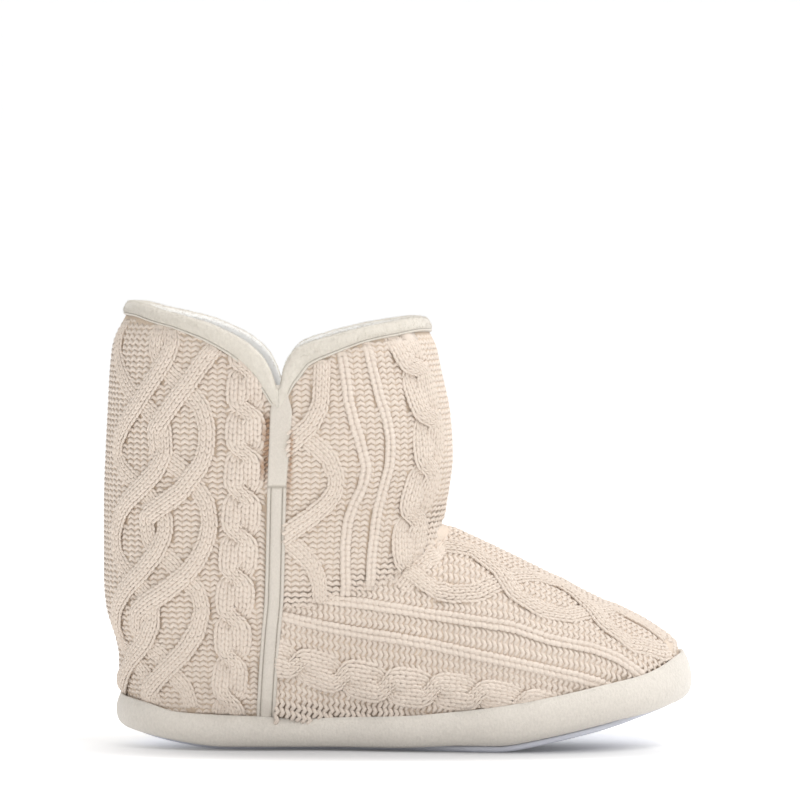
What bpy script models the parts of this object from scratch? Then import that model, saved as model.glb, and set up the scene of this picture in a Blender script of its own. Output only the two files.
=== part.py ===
"""Knitted bootie slipper for the right foot, standing empty on its sole.

The toe points along +X, the outer side of the foot faces -Y and +Z is up. The origin lies on the
floor, under the middle of the sole's length. All lengths are in metres.
"""

import math
from collections import namedtuple

import bmesh
import bpy
import numpy as np

# Sole, from heel to toe
SOLE_LENGTH = 0.259
BALL_WIDTH = 0.102
HEEL_WIDTH = 0.080
TOE_SPRING = 0.0215
HEEL_LIFT = 0.0075
FLAT_FRONT = 0.040
FLAT_BACK = -0.080
SPRING_EASE = 0.010
RAND_HEIGHT = 0.0152
RAND_WALL = 0.0034
RAND_BULGE = 0.0045
TOE_LEAN = 0.0024
OUTSOLE_THICKNESS = 0.0026
OUTSOLE_INSET = 0.0032
FOAM_THICKNESS = 0.0060
LAP_SHARE = 0.75
INSOLE_THICKNESS = 0.0040

# Upper and shaft
SHAFT_HEIGHT = 0.1987
SHAFT_DEPTH = 0.156
SHAFT_WIDTH = 0.104
SHAFT_CENTRE = -0.0566
SIDE_SEAM = -0.0555
INSTEP_HEIGHT = 0.0980
WALL = 0.0050
CREASE_DEPTH = 0.0015
CREASE_WIDTH = 0.0070
CREASE_FILLET = 0.0110
TUCK_BLEND = 0.0090
CABLE_HEIGHT = 0.0016
CABLE_HALF_WIDTH = 0.0095

# Collar binding and side tapes
BINDING_THICKNESS = 0.0013
BINDING_LEG = 0.0070
BINDING_CROWN = 0.0022
BINDING_BULGE = 0.0003
NOTCH_MITRE = 1.6
TAPE_WIDTH = 0.0080
TAPE_THICKNESS = 0.0014

# Gap left between pieces that touch
CLEARANCE = 0.0003

# How finely the loft is divided
FRONT_COLUMNS = 24
BACK_COLUMNS = 12
BACK_SPREAD = 1.25
NOSE_SPREAD = 0.7
SHAFT_ROWS = 28
INNER_ROWS = (0, 1, 2, 4, 6, 8, 10, 12, 14, 16, 18, 20, 23, 26, 28, 29, 30)
TAPE_ROWS = 32
CROWN_STEPS = 4

LATERAL, MEDIAL = 270.0, 90.0

Outline = namedtuple("Outline", "station fullness centre")
Joint = namedtuple("Joint", "station height")
Ridge = namedtuple("Ridge", "station height")
Shaft = namedtuple("Shaft", "height back front width")
Collar = namedtuple("Collar", "angle height")
Line = namedtuple("Line", "station height")
TapeRow = namedtuple("TapeRow", "height station")
RandSide = namedtuple("RandSide", "height inset")
RowShare = namedtuple("RowShare", "place share")
Finish = namedtuple("Finish", "colour roughness")

# Sole outline. Station runs from -1 at the heel to 1 at the toe. Fullness is the half width divided
# by the rounding of the ends, in halves of the local width, and centre is in ball widths.
OUTLINE = (
    Outline(-1.00, 1.66, 0.000),
    Outline(-0.90, 1.59, 0.000),
    Outline(-0.75, 1.39, 0.000),
    Outline(-0.50, 1.13, -0.004),
    Outline(-0.20, 0.94, -0.012),
    Outline(0.10, 0.91, -0.018),
    Outline(0.40, 1.06, -0.004),
    Outline(0.60, 1.17, 0.016),
    Outline(0.80, 1.26, 0.038),
    Outline(0.90, 1.29, 0.048),
    Outline(1.00, 1.30, 0.056),
)

# Top edge of the sole's covered side, as shares of RAND_HEIGHT.
JOINT_LINE = (
    Joint(-1.00, 1.45),
    Joint(-0.90, 1.32),
    Joint(-0.78, 1.08),
    Joint(-0.61, 1.01),
    Joint(-0.48, 0.97),
    Joint(-0.36, 0.90),
    Joint(-0.22, 0.95),
    Joint(-0.02, 1.01),
    Joint(0.19, 1.18),
    Joint(0.38, 1.41),
    Joint(0.54, 1.66),
    Joint(0.68, 1.90),
    Joint(0.84, 2.15),
    Joint(0.92, 2.38),
    Joint(0.965, 2.56),
    Joint(1.00, 2.66),
)

# Top of the foot from ankle to toe, as shares of INSTEP_HEIGHT.
RIDGE_LINE = (
    Ridge(-1.00, 1.10),
    Ridge(-0.15, 1.08),
    Ridge(0.13, 1.000),
    Ridge(0.27, 0.921),
    Ridge(0.41, 0.833),
    Ridge(0.555, 0.737),
    Ridge(0.69, 0.648),
    Ridge(0.80, 0.579),
    Ridge(0.90, 0.503),
    Ridge(0.935, 0.466),
    Ridge(0.953, 0.425),
)

# Level sections of the shaft. Height is in shaft heights, back and front are distances from
# SHAFT_CENTRE in shaft depths, and width is in shaft widths.
SHAFT = (
    Shaft(0.00, -0.444, 0.340, 0.735),
    Shaft(0.12, -0.453, 0.370, 0.760),
    Shaft(0.16, -0.459, 0.382, 0.770),
    Shaft(0.20, -0.460, 0.395, 0.785),
    Shaft(0.24, -0.470, 0.408, 0.800),
    Shaft(0.27, -0.483, 0.418, 0.820),
    Shaft(0.31, -0.496, 0.431, 0.840),
    Shaft(0.37, -0.502, 0.445, 0.860),
    Shaft(0.50, -0.502, 0.470, 0.890),
    Shaft(0.57, -0.501, 0.489, 0.925),
    Shaft(0.65, -0.497, 0.500, 0.970),
    Shaft(0.74, -0.491, 0.493, 1.000),
    Shaft(0.84, -0.484, 0.467, 0.985),
    Shaft(0.90, -0.475, 0.450, 0.970),
    Shaft(0.95, -0.449, 0.418, 0.945),
    Shaft(1.00, -0.414, 0.386, 0.915),
)

# How the rows above the sole's joint are shared out: closest where the shaft folds over the vamp.
ROW_SHARES = (
    RowShare(0.00, 0.00),
    RowShare(0.16, 0.18),
    RowShare(0.60, 0.50),
    RowShare(1.00, 1.00),
)

# Edge of the collar round one side, from 0 at the shin to 180 at the back, in shaft heights.
COLLAR_LINE = (
    Collar(0, 0.961),
    Collar(14, 0.965),
    Collar(37, 0.955),
    Collar(52.5, 0.943),
    Collar(70, 0.922),
    Collar(81, 0.902),
    Collar(86.8, 0.863),
    Collar(90, 0.812),
    Collar(93, 0.852),
    Collar(96.2, 0.885),
    Collar(101.4, 0.915),
    Collar(109, 0.940),
    Collar(118, 0.960),
    Collar(139, 0.984),
    Collar(160, 0.999),
    Collar(180, 1.000),
)

# Seam where the front of the shaft is sewn to the vamp. Station is in half sole lengths, height in
# instep heights.
VAMP_SEAM = (
    Line(-0.412, 0.648),
    Line(-0.256, 0.688),
    Line(-0.188, 0.719),
    Line(-0.117, 0.747),
    Line(-0.041, 0.790),
    Line(0.010, 0.836),
    Line(0.039, 0.867),
    Line(0.087, 0.913),
    Line(0.131, 1.010),
)

# Centre lines of the rope cables, seen from the side, in half sole lengths and shaft heights.
ROPE_CABLES = (
    (Line(-0.538, 0.81), Line(-0.542, 0.64), Line(-0.562, 0.37), Line(-0.582, 0.19), Line(-0.600, 0.10)),
    (Line(0.014, 0.86), Line(0.058, 0.77), Line(0.046, 0.68), Line(0.032, 0.58), Line(0.014, 0.48)),
    (Line(-0.41, 0.205), Line(-0.24, 0.169), Line(-0.10, 0.149), Line(0.19, 0.133), Line(0.40, 0.118)),
)

# Middle of the side tape, from the sole up to the collar's notch, in shaft heights and half sole
# lengths.
TAPE_LINE = (
    TapeRow(0.085, -0.4740),
    TapeRow(0.191, -0.4640),
    TapeRow(0.268, -0.4550),
    TapeRow(0.357, -0.4440),
    TapeRow(0.468, -0.4390),
    TapeRow(0.592, -0.4340),
    TapeRow(0.712, -0.4220),
    TapeRow(0.753, -0.4190),
)

# Side of the padded sole from its lower edge to its upper edge: height as a share of the side, and
# inset in units of RAND_BULGE.
RAND_SIDE = (
    RandSide(0.00, 0.95),
    RandSide(0.10, 0.45),
    RandSide(0.28, 0.10),
    RandSide(0.52, 0.00),
    RandSide(0.80, 0.12),
    RandSide(0.95, 0.33),
)

FINISHES = {
    "knit": Finish((0.80, 0.68, 0.57), 0.95),
    "binding": Finish((0.79, 0.74, 0.66), 0.90),
    "velour": Finish((0.78, 0.73, 0.66), 0.92),
    "outsole_cloth": Finish((0.62, 0.62, 0.66), 0.80),
    "plush": Finish((0.86, 0.84, 0.80), 1.00),
}


def ramp(value, low, high):
    """Smooth step from 0 at low to 1 at high."""
    share = np.clip((value - low) / (high - low), 0.0, 1.0)
    return share * share * (3.0 - 2.0 * share)


def through(rows, column, at):
    """Value of a table's column at a station, on a smooth curve through the rows that never overshoots."""
    stations = np.array([row[0] for row in rows], float)
    values = np.array([getattr(row, column) for row in rows], float)
    secants = np.diff(values) / np.diff(stations)
    product = secants[:-1] * secants[1:]
    total = secants[:-1] + secants[1:]
    slopes = np.empty_like(values)
    slopes[0], slopes[-1] = secants[0], secants[-1]
    slopes[1:-1] = np.where(product > 0, 2 * product / np.where(product > 0, total, 1.0), 0.0)
    at = np.clip(at, stations[0], stations[-1])
    low = np.clip(np.searchsorted(stations, at, side="right") - 1, 0, len(stations) - 2)
    span = stations[low + 1] - stations[low]
    share = (at - stations[low]) / span
    rise = values[low + 1] - values[low]
    bend = slopes[low] * span - rise
    other_bend = slopes[low + 1] * span - rise
    return values[low] + share * rise + share * (1 - share) * ((1 - share) * bend - share * other_bend)


def signed_root(value, power):
    """Power of a value that keeps the value's sign, so that a form's edge stays findable outside it."""
    return np.sign(value) * np.abs(value) ** power


def half_length(inset):
    """Half of the sole's length, less an inset at each end."""
    return SOLE_LENGTH / 2 - inset


def local_half_width(station):
    """Half of the heel's width at the back, passing to half of the ball's width in front."""
    front = ramp(station, -0.4, 0.3)
    return (HEEL_WIDTH * (1 - front) + BALL_WIDTH * front) / 2


def outline(angle, inset=0.0):
    """Points (x, y) of the sole's outline at angles in degrees, moved inwards by inset."""
    angle = np.radians(angle)

    def plain(turn):
        station = np.cos(turn)
        half = through(OUTLINE, "fullness", station) * local_half_width(station)
        middle = through(OUTLINE, "centre", station) * BALL_WIDTH
        return half_length(0) * station, middle + half * np.sin(turn)

    x, y = plain(angle)
    step = math.radians(0.5)
    before, after = plain(angle - step), plain(angle + step)
    along_x, along_y = after[0] - before[0], after[1] - before[1]
    length = np.hypot(along_x, along_y)
    return x - inset * along_y / length, y + inset * along_x / length


def toe_lean(angle):
    """How far the sole's side leans inwards at its upper edge, which it does round the toe."""
    return TOE_LEAN * ramp(np.cos(np.radians(angle)), 0.6, 1.0)


def seat_inset(angle):
    """Inset of the wall that the upper's lower edge stands against."""
    return RAND_WALL + toe_lean(angle)


def underside(x):
    """Height of the sole's underside: flat in the middle, rising to the toe and a little to the heel."""

    def rise(run):
        return np.hypot(np.maximum(run, 0.0), SPRING_EASE) - SPRING_EASE

    toe = TOE_SPRING * rise(x - FLAT_FRONT) / rise(SOLE_LENGTH / 2 - FLAT_FRONT)
    heel = HEEL_LIFT * rise(FLAT_BACK - x) / rise(FLAT_BACK + SOLE_LENGTH / 2)
    return toe + heel


def joint_height(x):
    """Height of the sole's upper edge, where the upper goes into it."""
    return through(JOINT_LINE, "height", x / half_length(0)) * RAND_HEIGHT


def seat_height(x):
    """Height of the foam that the upper's lower edge and the insole rest on."""
    return underside(x) + OUTSOLE_THICKNESS + CLEARANCE + FOAM_THICKNESS


def ridge_height(x):
    """Height of the top of the foot."""
    return through(RIDGE_LINE, "height", x / half_length(0)) * INSTEP_HEIGHT


def foot_half_width(x, z):
    """Half width of the foot's arch over the sole, negative outside it."""
    reach = half_length(RAND_WALL) - np.where(x > 0, TOE_LEAN, 0.0)
    station = np.clip(x / reach, -1.0, 1.0)
    half = through(OUTLINE, "fullness", station) * local_half_width(station) - RAND_WALL
    base = half * np.sqrt(1 - station**2)
    joint = joint_height(x)
    share = np.maximum(z - joint, 0.0) / np.maximum(ridge_height(x) - joint, 0.001)
    return base * signed_root(1 - share**2.2, 0.5)


def shaft_ends(z):
    """Back and front of the shaft's section at a height."""
    height = z / SHAFT_HEIGHT
    back = SHAFT_CENTRE + through(SHAFT, "back", height) * SHAFT_DEPTH
    front = SHAFT_CENTRE + through(SHAFT, "front", height) * SHAFT_DEPTH
    return back, front


def shaft_half_width(x, z):
    """Half width of the shaft's oval section, negative outside it."""
    back, front = shaft_ends(z)
    station = (2 * x - back - front) / (front - back)
    width = through(SHAFT, "width", z / SHAFT_HEIGHT) * SHAFT_WIDTH / 2
    return width * signed_root(1 - np.abs(station) ** 2.3, 0.48)


def seen_from_side(line, height_unit):
    """Points (x, z) of a line given in half sole lengths and a unit of height."""
    return np.array([(row.station * half_length(0), row.height * height_unit) for row in line])


def distance_to(points, x, z):
    """Distance in the side view from points to a line drawn through others."""
    nearest = np.full(np.shape(x), np.inf)
    for start, end in zip(points[:-1], points[1:]):
        run = end - start
        share = ((x - start[0]) * run[0] + (z - start[1]) * run[1]) / (run @ run)
        share = np.clip(share, 0.0, 1.0)
        gap = np.hypot(x - start[0] - share * run[0], z - start[1] - share * run[1])
        nearest = np.minimum(nearest, gap)
    return nearest


def body_half_width(x, z):
    """Half width of foot and shaft together, with a soft fold where the shaft meets the vamp."""
    foot, shaft = foot_half_width(x, z), shaft_half_width(x, z)
    front = ramp(x / half_length(0), -0.35, 0.0)
    fillet = CREASE_FILLET * front * ramp(np.minimum(foot, shaft), 0.0, 0.010)
    joined = (foot + shaft + np.sqrt((foot - shaft) ** 2 + fillet**2)) / 2
    gap = distance_to(seen_from_side(VAMP_SEAM, INSTEP_HEIGHT), x, z)
    trough = CREASE_DEPTH * np.exp(-((gap / CREASE_WIDTH) ** 2)) * ramp(joined, 0.0, 0.012)
    return joined - trough


def front_of_foot(z):
    """How far forward the top of the foot reaches at a height."""
    stations = np.linspace(-0.15, RIDGE_LINE[-1].station, 200) * half_length(0)
    ahead = np.interp(-z, -ridge_height(stations), stations)
    return np.where(z < ridge_height(stations[-1]), half_length(RAND_WALL + TOE_LEAN), ahead)


def side_centre(x, z):
    """Sideways shift of the foot's middle line, which fades out towards the shaft."""
    shift = through(OUTLINE, "centre", x / half_length(0)) * BALL_WIDTH
    return shift * (1 - ramp(z, 0.4 * INSTEP_HEIGHT, INSTEP_HEIGHT))


def share_along(angle):
    """Place of a column between the side seam and an end: 1 at the toe, 0 at the seam, -1 at the back."""
    side = np.abs((np.asarray(angle, float) + 180.0) % 360.0 - 180.0)
    ahead = np.minimum(side / 90.0, 1.0)
    nose = 1 - ahead**2 / (NOSE_SPREAD * ahead + 1 - NOSE_SPREAD)
    return np.where(side < 90.0, nose, np.cos(np.radians(np.maximum(side, 90.0))))


def between_ends(angle, back, front):
    """Length coordinate of a column in a section that runs from back to front."""
    share = share_along(angle)
    return SIDE_SEAM + np.where(share > 0, share * (front - SIDE_SEAM), share * (SIDE_SEAM - back))


def sole_angle(angle):
    """Angle on the sole's outline that a column of the upper stands over."""
    station = between_ends(angle, -half_length(0), half_length(0)) / half_length(0)
    half_turn = np.degrees(np.arccos(np.clip(station, -1.0, 1.0)))
    return np.where(np.asarray(angle, float) % 360.0 > 180.0, 360.0 - half_turn, half_turn)


def base_point(angle, z):
    """Point of the upper's outside at an angle round it and a height, without the cables."""
    under = sole_angle(angle)
    tucked_x, tucked_y = outline(under, seat_inset(under) + CLEARANCE)
    back, front = shaft_ends(z)
    x = between_ends(angle, back, np.maximum(front, front_of_foot(z)))
    half = np.maximum(body_half_width(x, z), 0.0)
    y = side_centre(x, z) + np.sign(np.sin(np.radians(angle))) * half
    joint = joint_height(tucked_x)
    free = ramp(z, joint, joint + TUCK_BLEND)
    return np.stack(
        [tucked_x + (x - tucked_x) * free, tucked_y + (y - tucked_y) * free, z * np.ones_like(x)], axis=-1
    )


def outward(angle, z):
    """Unit normal of the upper's outside."""
    turn, lift = 1.2, 0.0012
    round_it = base_point(angle + turn, z) - base_point(angle - turn, z)
    up_it = base_point(angle, z + lift) - base_point(angle, z - lift)
    normal = np.cross(round_it, up_it)
    return normal / np.linalg.norm(normal, axis=-1, keepdims=True)


def collar_height(angle):
    """Height of the upper's top edge, which dips to a notch at each side."""
    side = np.abs((np.asarray(angle, float) + 180.0) % 360.0 - 180.0)
    return through(COLLAR_LINE, "height", side) * SHAFT_HEIGHT - BINDING_CROWN


def tape_middle(z):
    """Length coordinate of the side tape's middle at a height."""
    return through(TAPE_LINE, "station", z / SHAFT_HEIGHT) * half_length(0)


def cable_relief(angle, z, point):
    """How far the rope cables stand out of the wall, fading towards seams, collar and sole."""
    relief = np.zeros(np.shape(z))
    for line in ROPE_CABLES:
        gap = distance_to(seen_from_side(line, SHAFT_HEIGHT), point[..., 0], point[..., 2])
        relief = np.maximum(relief, CABLE_HEIGHT * (1 - ramp(gap, 0.3 * CABLE_HALF_WIDTH, CABLE_HALF_WIDTH)))
    below_collar = collar_height(angle) - z
    free = ramp(below_collar, 2.0 * BINDING_LEG, 3.2 * BINDING_LEG)
    free *= ramp(np.abs(point[..., 0] - tape_middle(point[..., 2])), TAPE_WIDTH, 1.6 * TAPE_WIDTH)
    return relief * free * ramp(z, joint_height(point[..., 0]), joint_height(point[..., 0]) + TUCK_BLEND)


def column_angles():
    """Angles of the loft's columns from the toe round by the inner side, closest at the side seams."""
    front = np.linspace(0.0, 90.0, FRONT_COLUMNS + 1)
    back = 90.0 + 90.0 * np.linspace(0.0, 1.0, BACK_COLUMNS + 1)[1:] ** BACK_SPREAD
    half = np.concatenate([front, back])
    return np.concatenate([half, 360.0 - half[-2:0:-1]])


def upper_rows(angles):
    """Heights of the upper's rows for each column: tucked edge, joint, blend and then up to the collar."""
    under = sole_angle(angles)
    x, _ = outline(under, seat_inset(under) + CLEARANCE)
    joint, top = joint_height(x), collar_height(angles)
    rows = [seat_height(x) + CLEARANCE, joint, joint + 0.45 * TUCK_BLEND]
    blend_end = joint + TUCK_BLEND
    for place in np.linspace(0.0, 1.0, SHAFT_ROWS + 1):
        share = np.interp(place, [row.place for row in ROW_SHARES], [row.share for row in ROW_SHARES])
        rows.append(blend_end + (top - blend_end) * share)
    return rows


def fill_across(count):
    """Faces that close a ring of points by joining each side to the other."""
    strips = []
    for near in range(count // 2):
        far = count - near
        corners = (near % count, (near + 1) % count, (far - 1) % count, far % count)
        strips.append(tuple(dict.fromkeys(corners)))
    return [face for face in strips if len(face) > 2]


def loft(name, rings, closed_round=True, loop=False, filled=False):
    """Object whose faces join each ring of points to the next.

    closed_round joins each ring's last point to its first, loop joins the last ring to the first,
    and filled closes the first and last ring across.
    """
    count = len(rings[0])
    points = np.concatenate(rings)
    around = count if closed_round else count - 1
    pairs = len(rings) if loop else len(rings) - 1
    faces = []
    for ring in range(pairs):
        low, high = ring * count, ((ring + 1) % len(rings)) * count
        for place in range(around):
            after = (place + 1) % count
            faces.append((low + place, low + after, high + after, high + place))
    if filled:
        last = (len(rings) - 1) * count
        faces += fill_across(count)
        faces += [tuple(last + corner for corner in reversed(face)) for face in fill_across(count)]
    mesh = bpy.data.meshes.new(name)
    mesh.from_pydata([tuple(point) for point in points], [], faces)
    shell = bmesh.new()
    shell.from_mesh(mesh)
    bmesh.ops.triangulate(shell, faces=shell.faces)
    bmesh.ops.recalc_face_normals(shell, faces=shell.faces)
    shell.to_mesh(mesh)
    shell.free()
    mesh.shade_smooth()
    mesh.set_sharp_from_angle(angle=math.radians(40))
    return bpy.data.objects.new(name, mesh)


def ring(angles, inset, heights):
    """Points on the sole's outline, inset, at given heights."""
    x, y = outline(angles, inset)
    return np.stack([x, y, heights], axis=-1)


def build_upper(angles):
    """Hollow knitted upper: outside rows going up, inside rows coming down, open above and below."""
    heights = upper_rows(angles)
    outside, inside = [], []
    for height in heights:
        point, normal = base_point(angles, height), outward(angles, height)
        outside.append(point + normal * cable_relief(angles, height, point)[:, None])
        inside.append(point - normal * WALL)
    inner_rows = [row for row in INNER_ROWS if row < len(heights) - 1] + [len(heights) - 1]
    return loft("upper", outside + [inside[row] for row in reversed(inner_rows)], loop=True)


def toe_half(angles):
    """Share from 0 at the heel half to 1 at the toe half."""
    return ramp(np.cos(np.radians(angles)), -0.05, 0.30)


def build_outsole(angles):
    """Thin textile outsole that follows the underside and shows below the sole's side at the toe."""
    edge = RAND_BULGE + OUTSOLE_INSET * (1 - toe_half(angles))
    x, _ = outline(angles, edge)
    bottom = underside(x)
    chamfer = OUTSOLE_THICKNESS * 0.35
    rings = [
        ring(angles, edge + chamfer, bottom),
        ring(angles, edge, bottom + chamfer),
        ring(angles, edge, bottom + OUTSOLE_THICKNESS),
    ]
    return loft("outsole", rings, filled=True)


def build_midsole(angles):
    """Foam sole covered with velour: a bulging side round a shallow seat for upper and insole."""
    under_x, _ = outline(angles, RAND_BULGE)
    bottom = underside(under_x) + OUTSOLE_THICKNESS + CLEARANCE
    x, _ = outline(angles)
    top = joint_height(x)
    rings = []
    lap = OUTSOLE_THICKNESS * LAP_SHARE * (1 - toe_half(angles))
    lean, wall = toe_lean(angles), seat_inset(angles)
    for row in RAND_SIDE:
        low = bottom - (lap if row.height > 0 else 0.0)
        inset = row.inset * RAND_BULGE + lean * row.height**2
        rings.append(ring(angles, inset, low + (top - low) * row.height))
    rings.append(ring(angles, lean + RAND_WALL * 0.62, top + 0.12 * RAND_WALL))
    rings.append(ring(angles, lean + RAND_WALL * 0.92, top - 0.10 * RAND_WALL))
    seat_x, _ = outline(angles, wall)
    rings.append(ring(angles, wall, top - 0.45 * RAND_WALL))
    rings.append(ring(angles, wall, seat_height(seat_x)))
    return loft("midsole", rings, filled=True)


def build_insole(angles):
    """Insole pad that lies on the foam inside the upper."""
    edge = seat_inset(angles) + CLEARANCE + WALL + CLEARANCE
    x, _ = outline(angles, edge)
    seat = seat_height(x) + CLEARANCE
    rounding = INSOLE_THICKNESS * 0.3
    rings = [
        ring(angles, edge, seat),
        ring(angles, edge, seat + INSOLE_THICKNESS - rounding),
        ring(angles, edge + rounding, seat + INSOLE_THICKNESS),
    ]
    return loft("insole", rings, filled=True)


def binding_profile():
    """Section of the binding as (outward, down) pairs, from the outer leg's inner corner."""
    inner = WALL + CLEARANCE
    outer_reach = CLEARANCE + BINDING_THICKNESS
    half = WALL / 2 + outer_reach
    profile = [
        (CLEARANCE, BINDING_LEG),
        (CLEARANCE, -CLEARANCE),
        (-inner, -CLEARANCE),
        (-inner, BINDING_LEG),
        (-inner - BINDING_THICKNESS, BINDING_LEG),
        (-inner - BINDING_THICKNESS - BINDING_BULGE, BINDING_LEG * 0.4),
    ]
    for step in range(CROWN_STEPS + 1):
        turn = math.pi * (1 - step / CROWN_STEPS)
        profile.append((-WALL / 2 + half * math.cos(turn), -BINDING_CROWN * math.sin(turn)))
    profile.append((outer_reach + BINDING_BULGE, BINDING_LEG * 0.4))
    profile.append((outer_reach, BINDING_LEG))
    return profile


def binding_sections(angles):
    """Rings of the binding over a run of columns that starts and ends at the collar's notches."""
    angles = np.asarray(angles, float)
    height = collar_height(angles)
    edge, normal = base_point(angles, height), outward(angles, height)
    run = np.gradient(edge, axis=0)
    run[0], run[-1] = edge[1] - edge[0], edge[-1] - edge[-2]
    down = np.cross(normal, run)
    down *= -np.sign(down[:, 2:3])
    down /= np.linalg.norm(down, axis=-1, keepdims=True)
    mitre = np.ones(len(angles))
    for end in (0, -1):
        mitre[end] = NOTCH_MITRE
        down[end] = (0.0, 0.0, -1.0)
    turn, lift = 0.5, 0.0005
    round_it = (base_point(angles + turn, height) - base_point(angles - turn, height)) / (2 * turn)
    up_it = (base_point(angles, height + lift) - base_point(angles, height - lift)) / (2 * lift)
    sections = []
    for column in range(len(angles)):
        across = np.stack([round_it[column], up_it[column]], axis=-1)
        per_metre = np.linalg.lstsq(across, down[column], rcond=None)[0]
        section = []
        for out, depth in binding_profile():
            depth = depth * mitre[column]
            if depth > 0:
                place = angles[column] + per_metre[0] * depth
                level = height[column] + per_metre[1] * depth
                section.append(base_point(place, level) + outward(place, level) * out)
            else:
                section.append(edge[column] + down[column] * depth + normal[column] * out)
        sections.append(np.array(section))
    return sections


def build_binding(name, angles, shift):
    """Binding folded over the collar's edge, ending clear of its neighbour at both notches."""
    sections = binding_sections(angles)
    for end in (0, -1):
        sections[end][:, 0] += shift
    rings = [np.array(section) for section in sections]
    binding = loft(name, rings)
    shell = bmesh.new()
    shell.from_mesh(binding.data)
    bmesh.ops.holes_fill(shell, edges=[edge for edge in shell.edges if edge.is_boundary])
    bmesh.ops.triangulate(shell, faces=[face for face in shell.faces if len(face.verts) > 3])
    bmesh.ops.recalc_face_normals(shell, faces=shell.faces)
    shell.to_mesh(binding.data)
    shell.free()
    return binding


def build_tape(name, side):
    """Tape sewn over a side seam, from the binding's point down to the sole."""
    foot = TAPE_LINE[0].station * half_length(0)
    low = joint_height(foot) + CLEARANCE + 0.15 * RAND_WALL
    high = collar_height(side) - NOTCH_MITRE * BINDING_LEG - CLEARANCE
    heights = np.linspace(high, low, TAPE_ROWS)
    columns = []
    for across in (-0.5, 0.0, 0.5):
        columns.append(surface_under(tape_middle(heights) + across * TAPE_WIDTH, heights, side))
    rings = []
    for point, normal in columns:
        rings.append((point + normal * CLEARANCE, point + normal * (CLEARANCE + TAPE_THICKNESS)))
    loop = [rings[0][0], rings[1][0], rings[2][0], rings[2][1], rings[1][1], rings[0][1]]
    sections = [np.array([path[row] for path in loop]) for row in range(TAPE_ROWS)]
    tape = loft(name, sections)
    shell = bmesh.new()
    shell.from_mesh(tape.data)
    bmesh.ops.holes_fill(shell, edges=[edge for edge in shell.edges if edge.is_boundary])
    bmesh.ops.triangulate(shell, faces=[face for face in shell.faces if len(face.verts) > 3])
    bmesh.ops.recalc_face_normals(shell, faces=shell.faces)
    shell.to_mesh(tape.data)
    shell.free()
    return tape


def surface_under(x, z, side):
    """Point and normal of the upper's outside at a side-view place, on one side of the shoe."""
    low = np.full(np.shape(x), side - 45.0)
    high = np.full(np.shape(x), side + 45.0)
    for _ in range(40):
        angle = (low + high) / 2
        too_far = base_point(angle, z)[..., 0] > x
        forward_is_lower = side < 180
        goes_up = too_far if forward_is_lower else ~too_far
        low = np.where(goes_up, angle, low)
        high = np.where(goes_up, high, angle)
    return base_point(angle, z), outward(angle, z)


def finish_for(slot):
    """Material of one finish."""
    finish = FINISHES[slot]
    material = bpy.data.materials.new(slot)
    material.use_nodes = True
    shader = material.node_tree.nodes["Principled BSDF"]
    shader.inputs["Base Color"].default_value = (*finish.colour, 1.0)
    shader.inputs["Roughness"].default_value = finish.roughness
    shader.inputs["Metallic"].default_value = 0.0
    return material


def main():
    for leftover in list(bpy.data.objects):
        bpy.data.objects.remove(leftover)
    collection = bpy.data.collections.new("bootie_slipper")
    bpy.context.scene.collection.children.link(collection)
    angles = column_angles()
    under = sole_angle(angles)
    front_run = np.concatenate([angles[angles >= LATERAL] - 360.0, angles[angles <= MEDIAL]])
    back_run = angles[(angles >= MEDIAL) & (angles <= LATERAL)]
    pieces = (
        (build_outsole(under), "outsole_cloth"),
        (build_midsole(under), "velour"),
        (build_insole(under), "plush"),
        (build_upper(angles), "knit"),
        (build_binding("collar_binding_front", front_run, CLEARANCE / 2), "binding"),
        (build_binding("collar_binding_back", back_run, -CLEARANCE / 2), "binding"),
        (build_tape("side_tape_outer", LATERAL), "binding"),
        (build_tape("side_tape_inner", MEDIAL), "binding"),
    )
    materials = {slot: finish_for(slot) for slot in FINISHES}
    for piece, slot in pieces:
        piece.data.materials.append(materials[slot])
        collection.objects.link(piece)


main()
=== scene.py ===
"""Looks of a knitted bootie slipper, a right shoe that stands empty on its sole.

The upper is laid stitch by stitch over the slipper's form: purl rows, raised ribs, rope cables and
crossing diamond cables. Bindings, tapes, padded sole, plush lining and insole follow the same form.
Lengths are in metres, the toe points along +X, the outer side faces -Y and +Z is up.
"""

import logging
import math
from dataclasses import dataclass, field, replace
from enum import Enum
from typing import Any, NamedTuple, Sequence

import bmesh
import bpy
import numpy as np
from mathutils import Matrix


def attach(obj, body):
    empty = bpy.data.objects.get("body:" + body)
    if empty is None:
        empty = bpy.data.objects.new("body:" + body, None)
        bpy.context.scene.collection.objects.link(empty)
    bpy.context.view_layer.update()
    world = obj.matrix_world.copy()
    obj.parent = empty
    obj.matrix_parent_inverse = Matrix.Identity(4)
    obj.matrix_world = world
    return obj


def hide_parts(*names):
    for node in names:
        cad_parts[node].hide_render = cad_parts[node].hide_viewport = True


log = logging.getLogger("bootie_slipper")

MM = 0.001


class Side(Enum):
    """The two long sides of the slipper, by the angle of their seam round the form."""

    OUTER = 270.0
    INNER = 90.0

    @property
    def sign(self) -> float:
        """Direction of the side along Y."""
        return -1.0 if self is Side.OUTER else 1.0


class Stop(NamedTuple):
    """Value of a smooth curve at a place."""

    place: float
    value: float


class Section(NamedTuple):
    """Level section of the shaft: height in shaft heights, ends in depths, width in widths."""

    height: float
    back: float
    front: float
    width: float


class Lane(NamedTuple):
    """Place in the side view, in millimetres from the origin."""

    x: float
    z: float


def lane_line(*pairs: tuple[float, float]) -> tuple[Lane, ...]:
    """Places in the side view from pairs of x and z."""
    return tuple(Lane(*pair) for pair in pairs)


def curve(*pairs: tuple[float, float]) -> tuple[Stop, ...]:
    """Curve through pairs of place and value."""
    return tuple(Stop(*pair) for pair in pairs)


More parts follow.
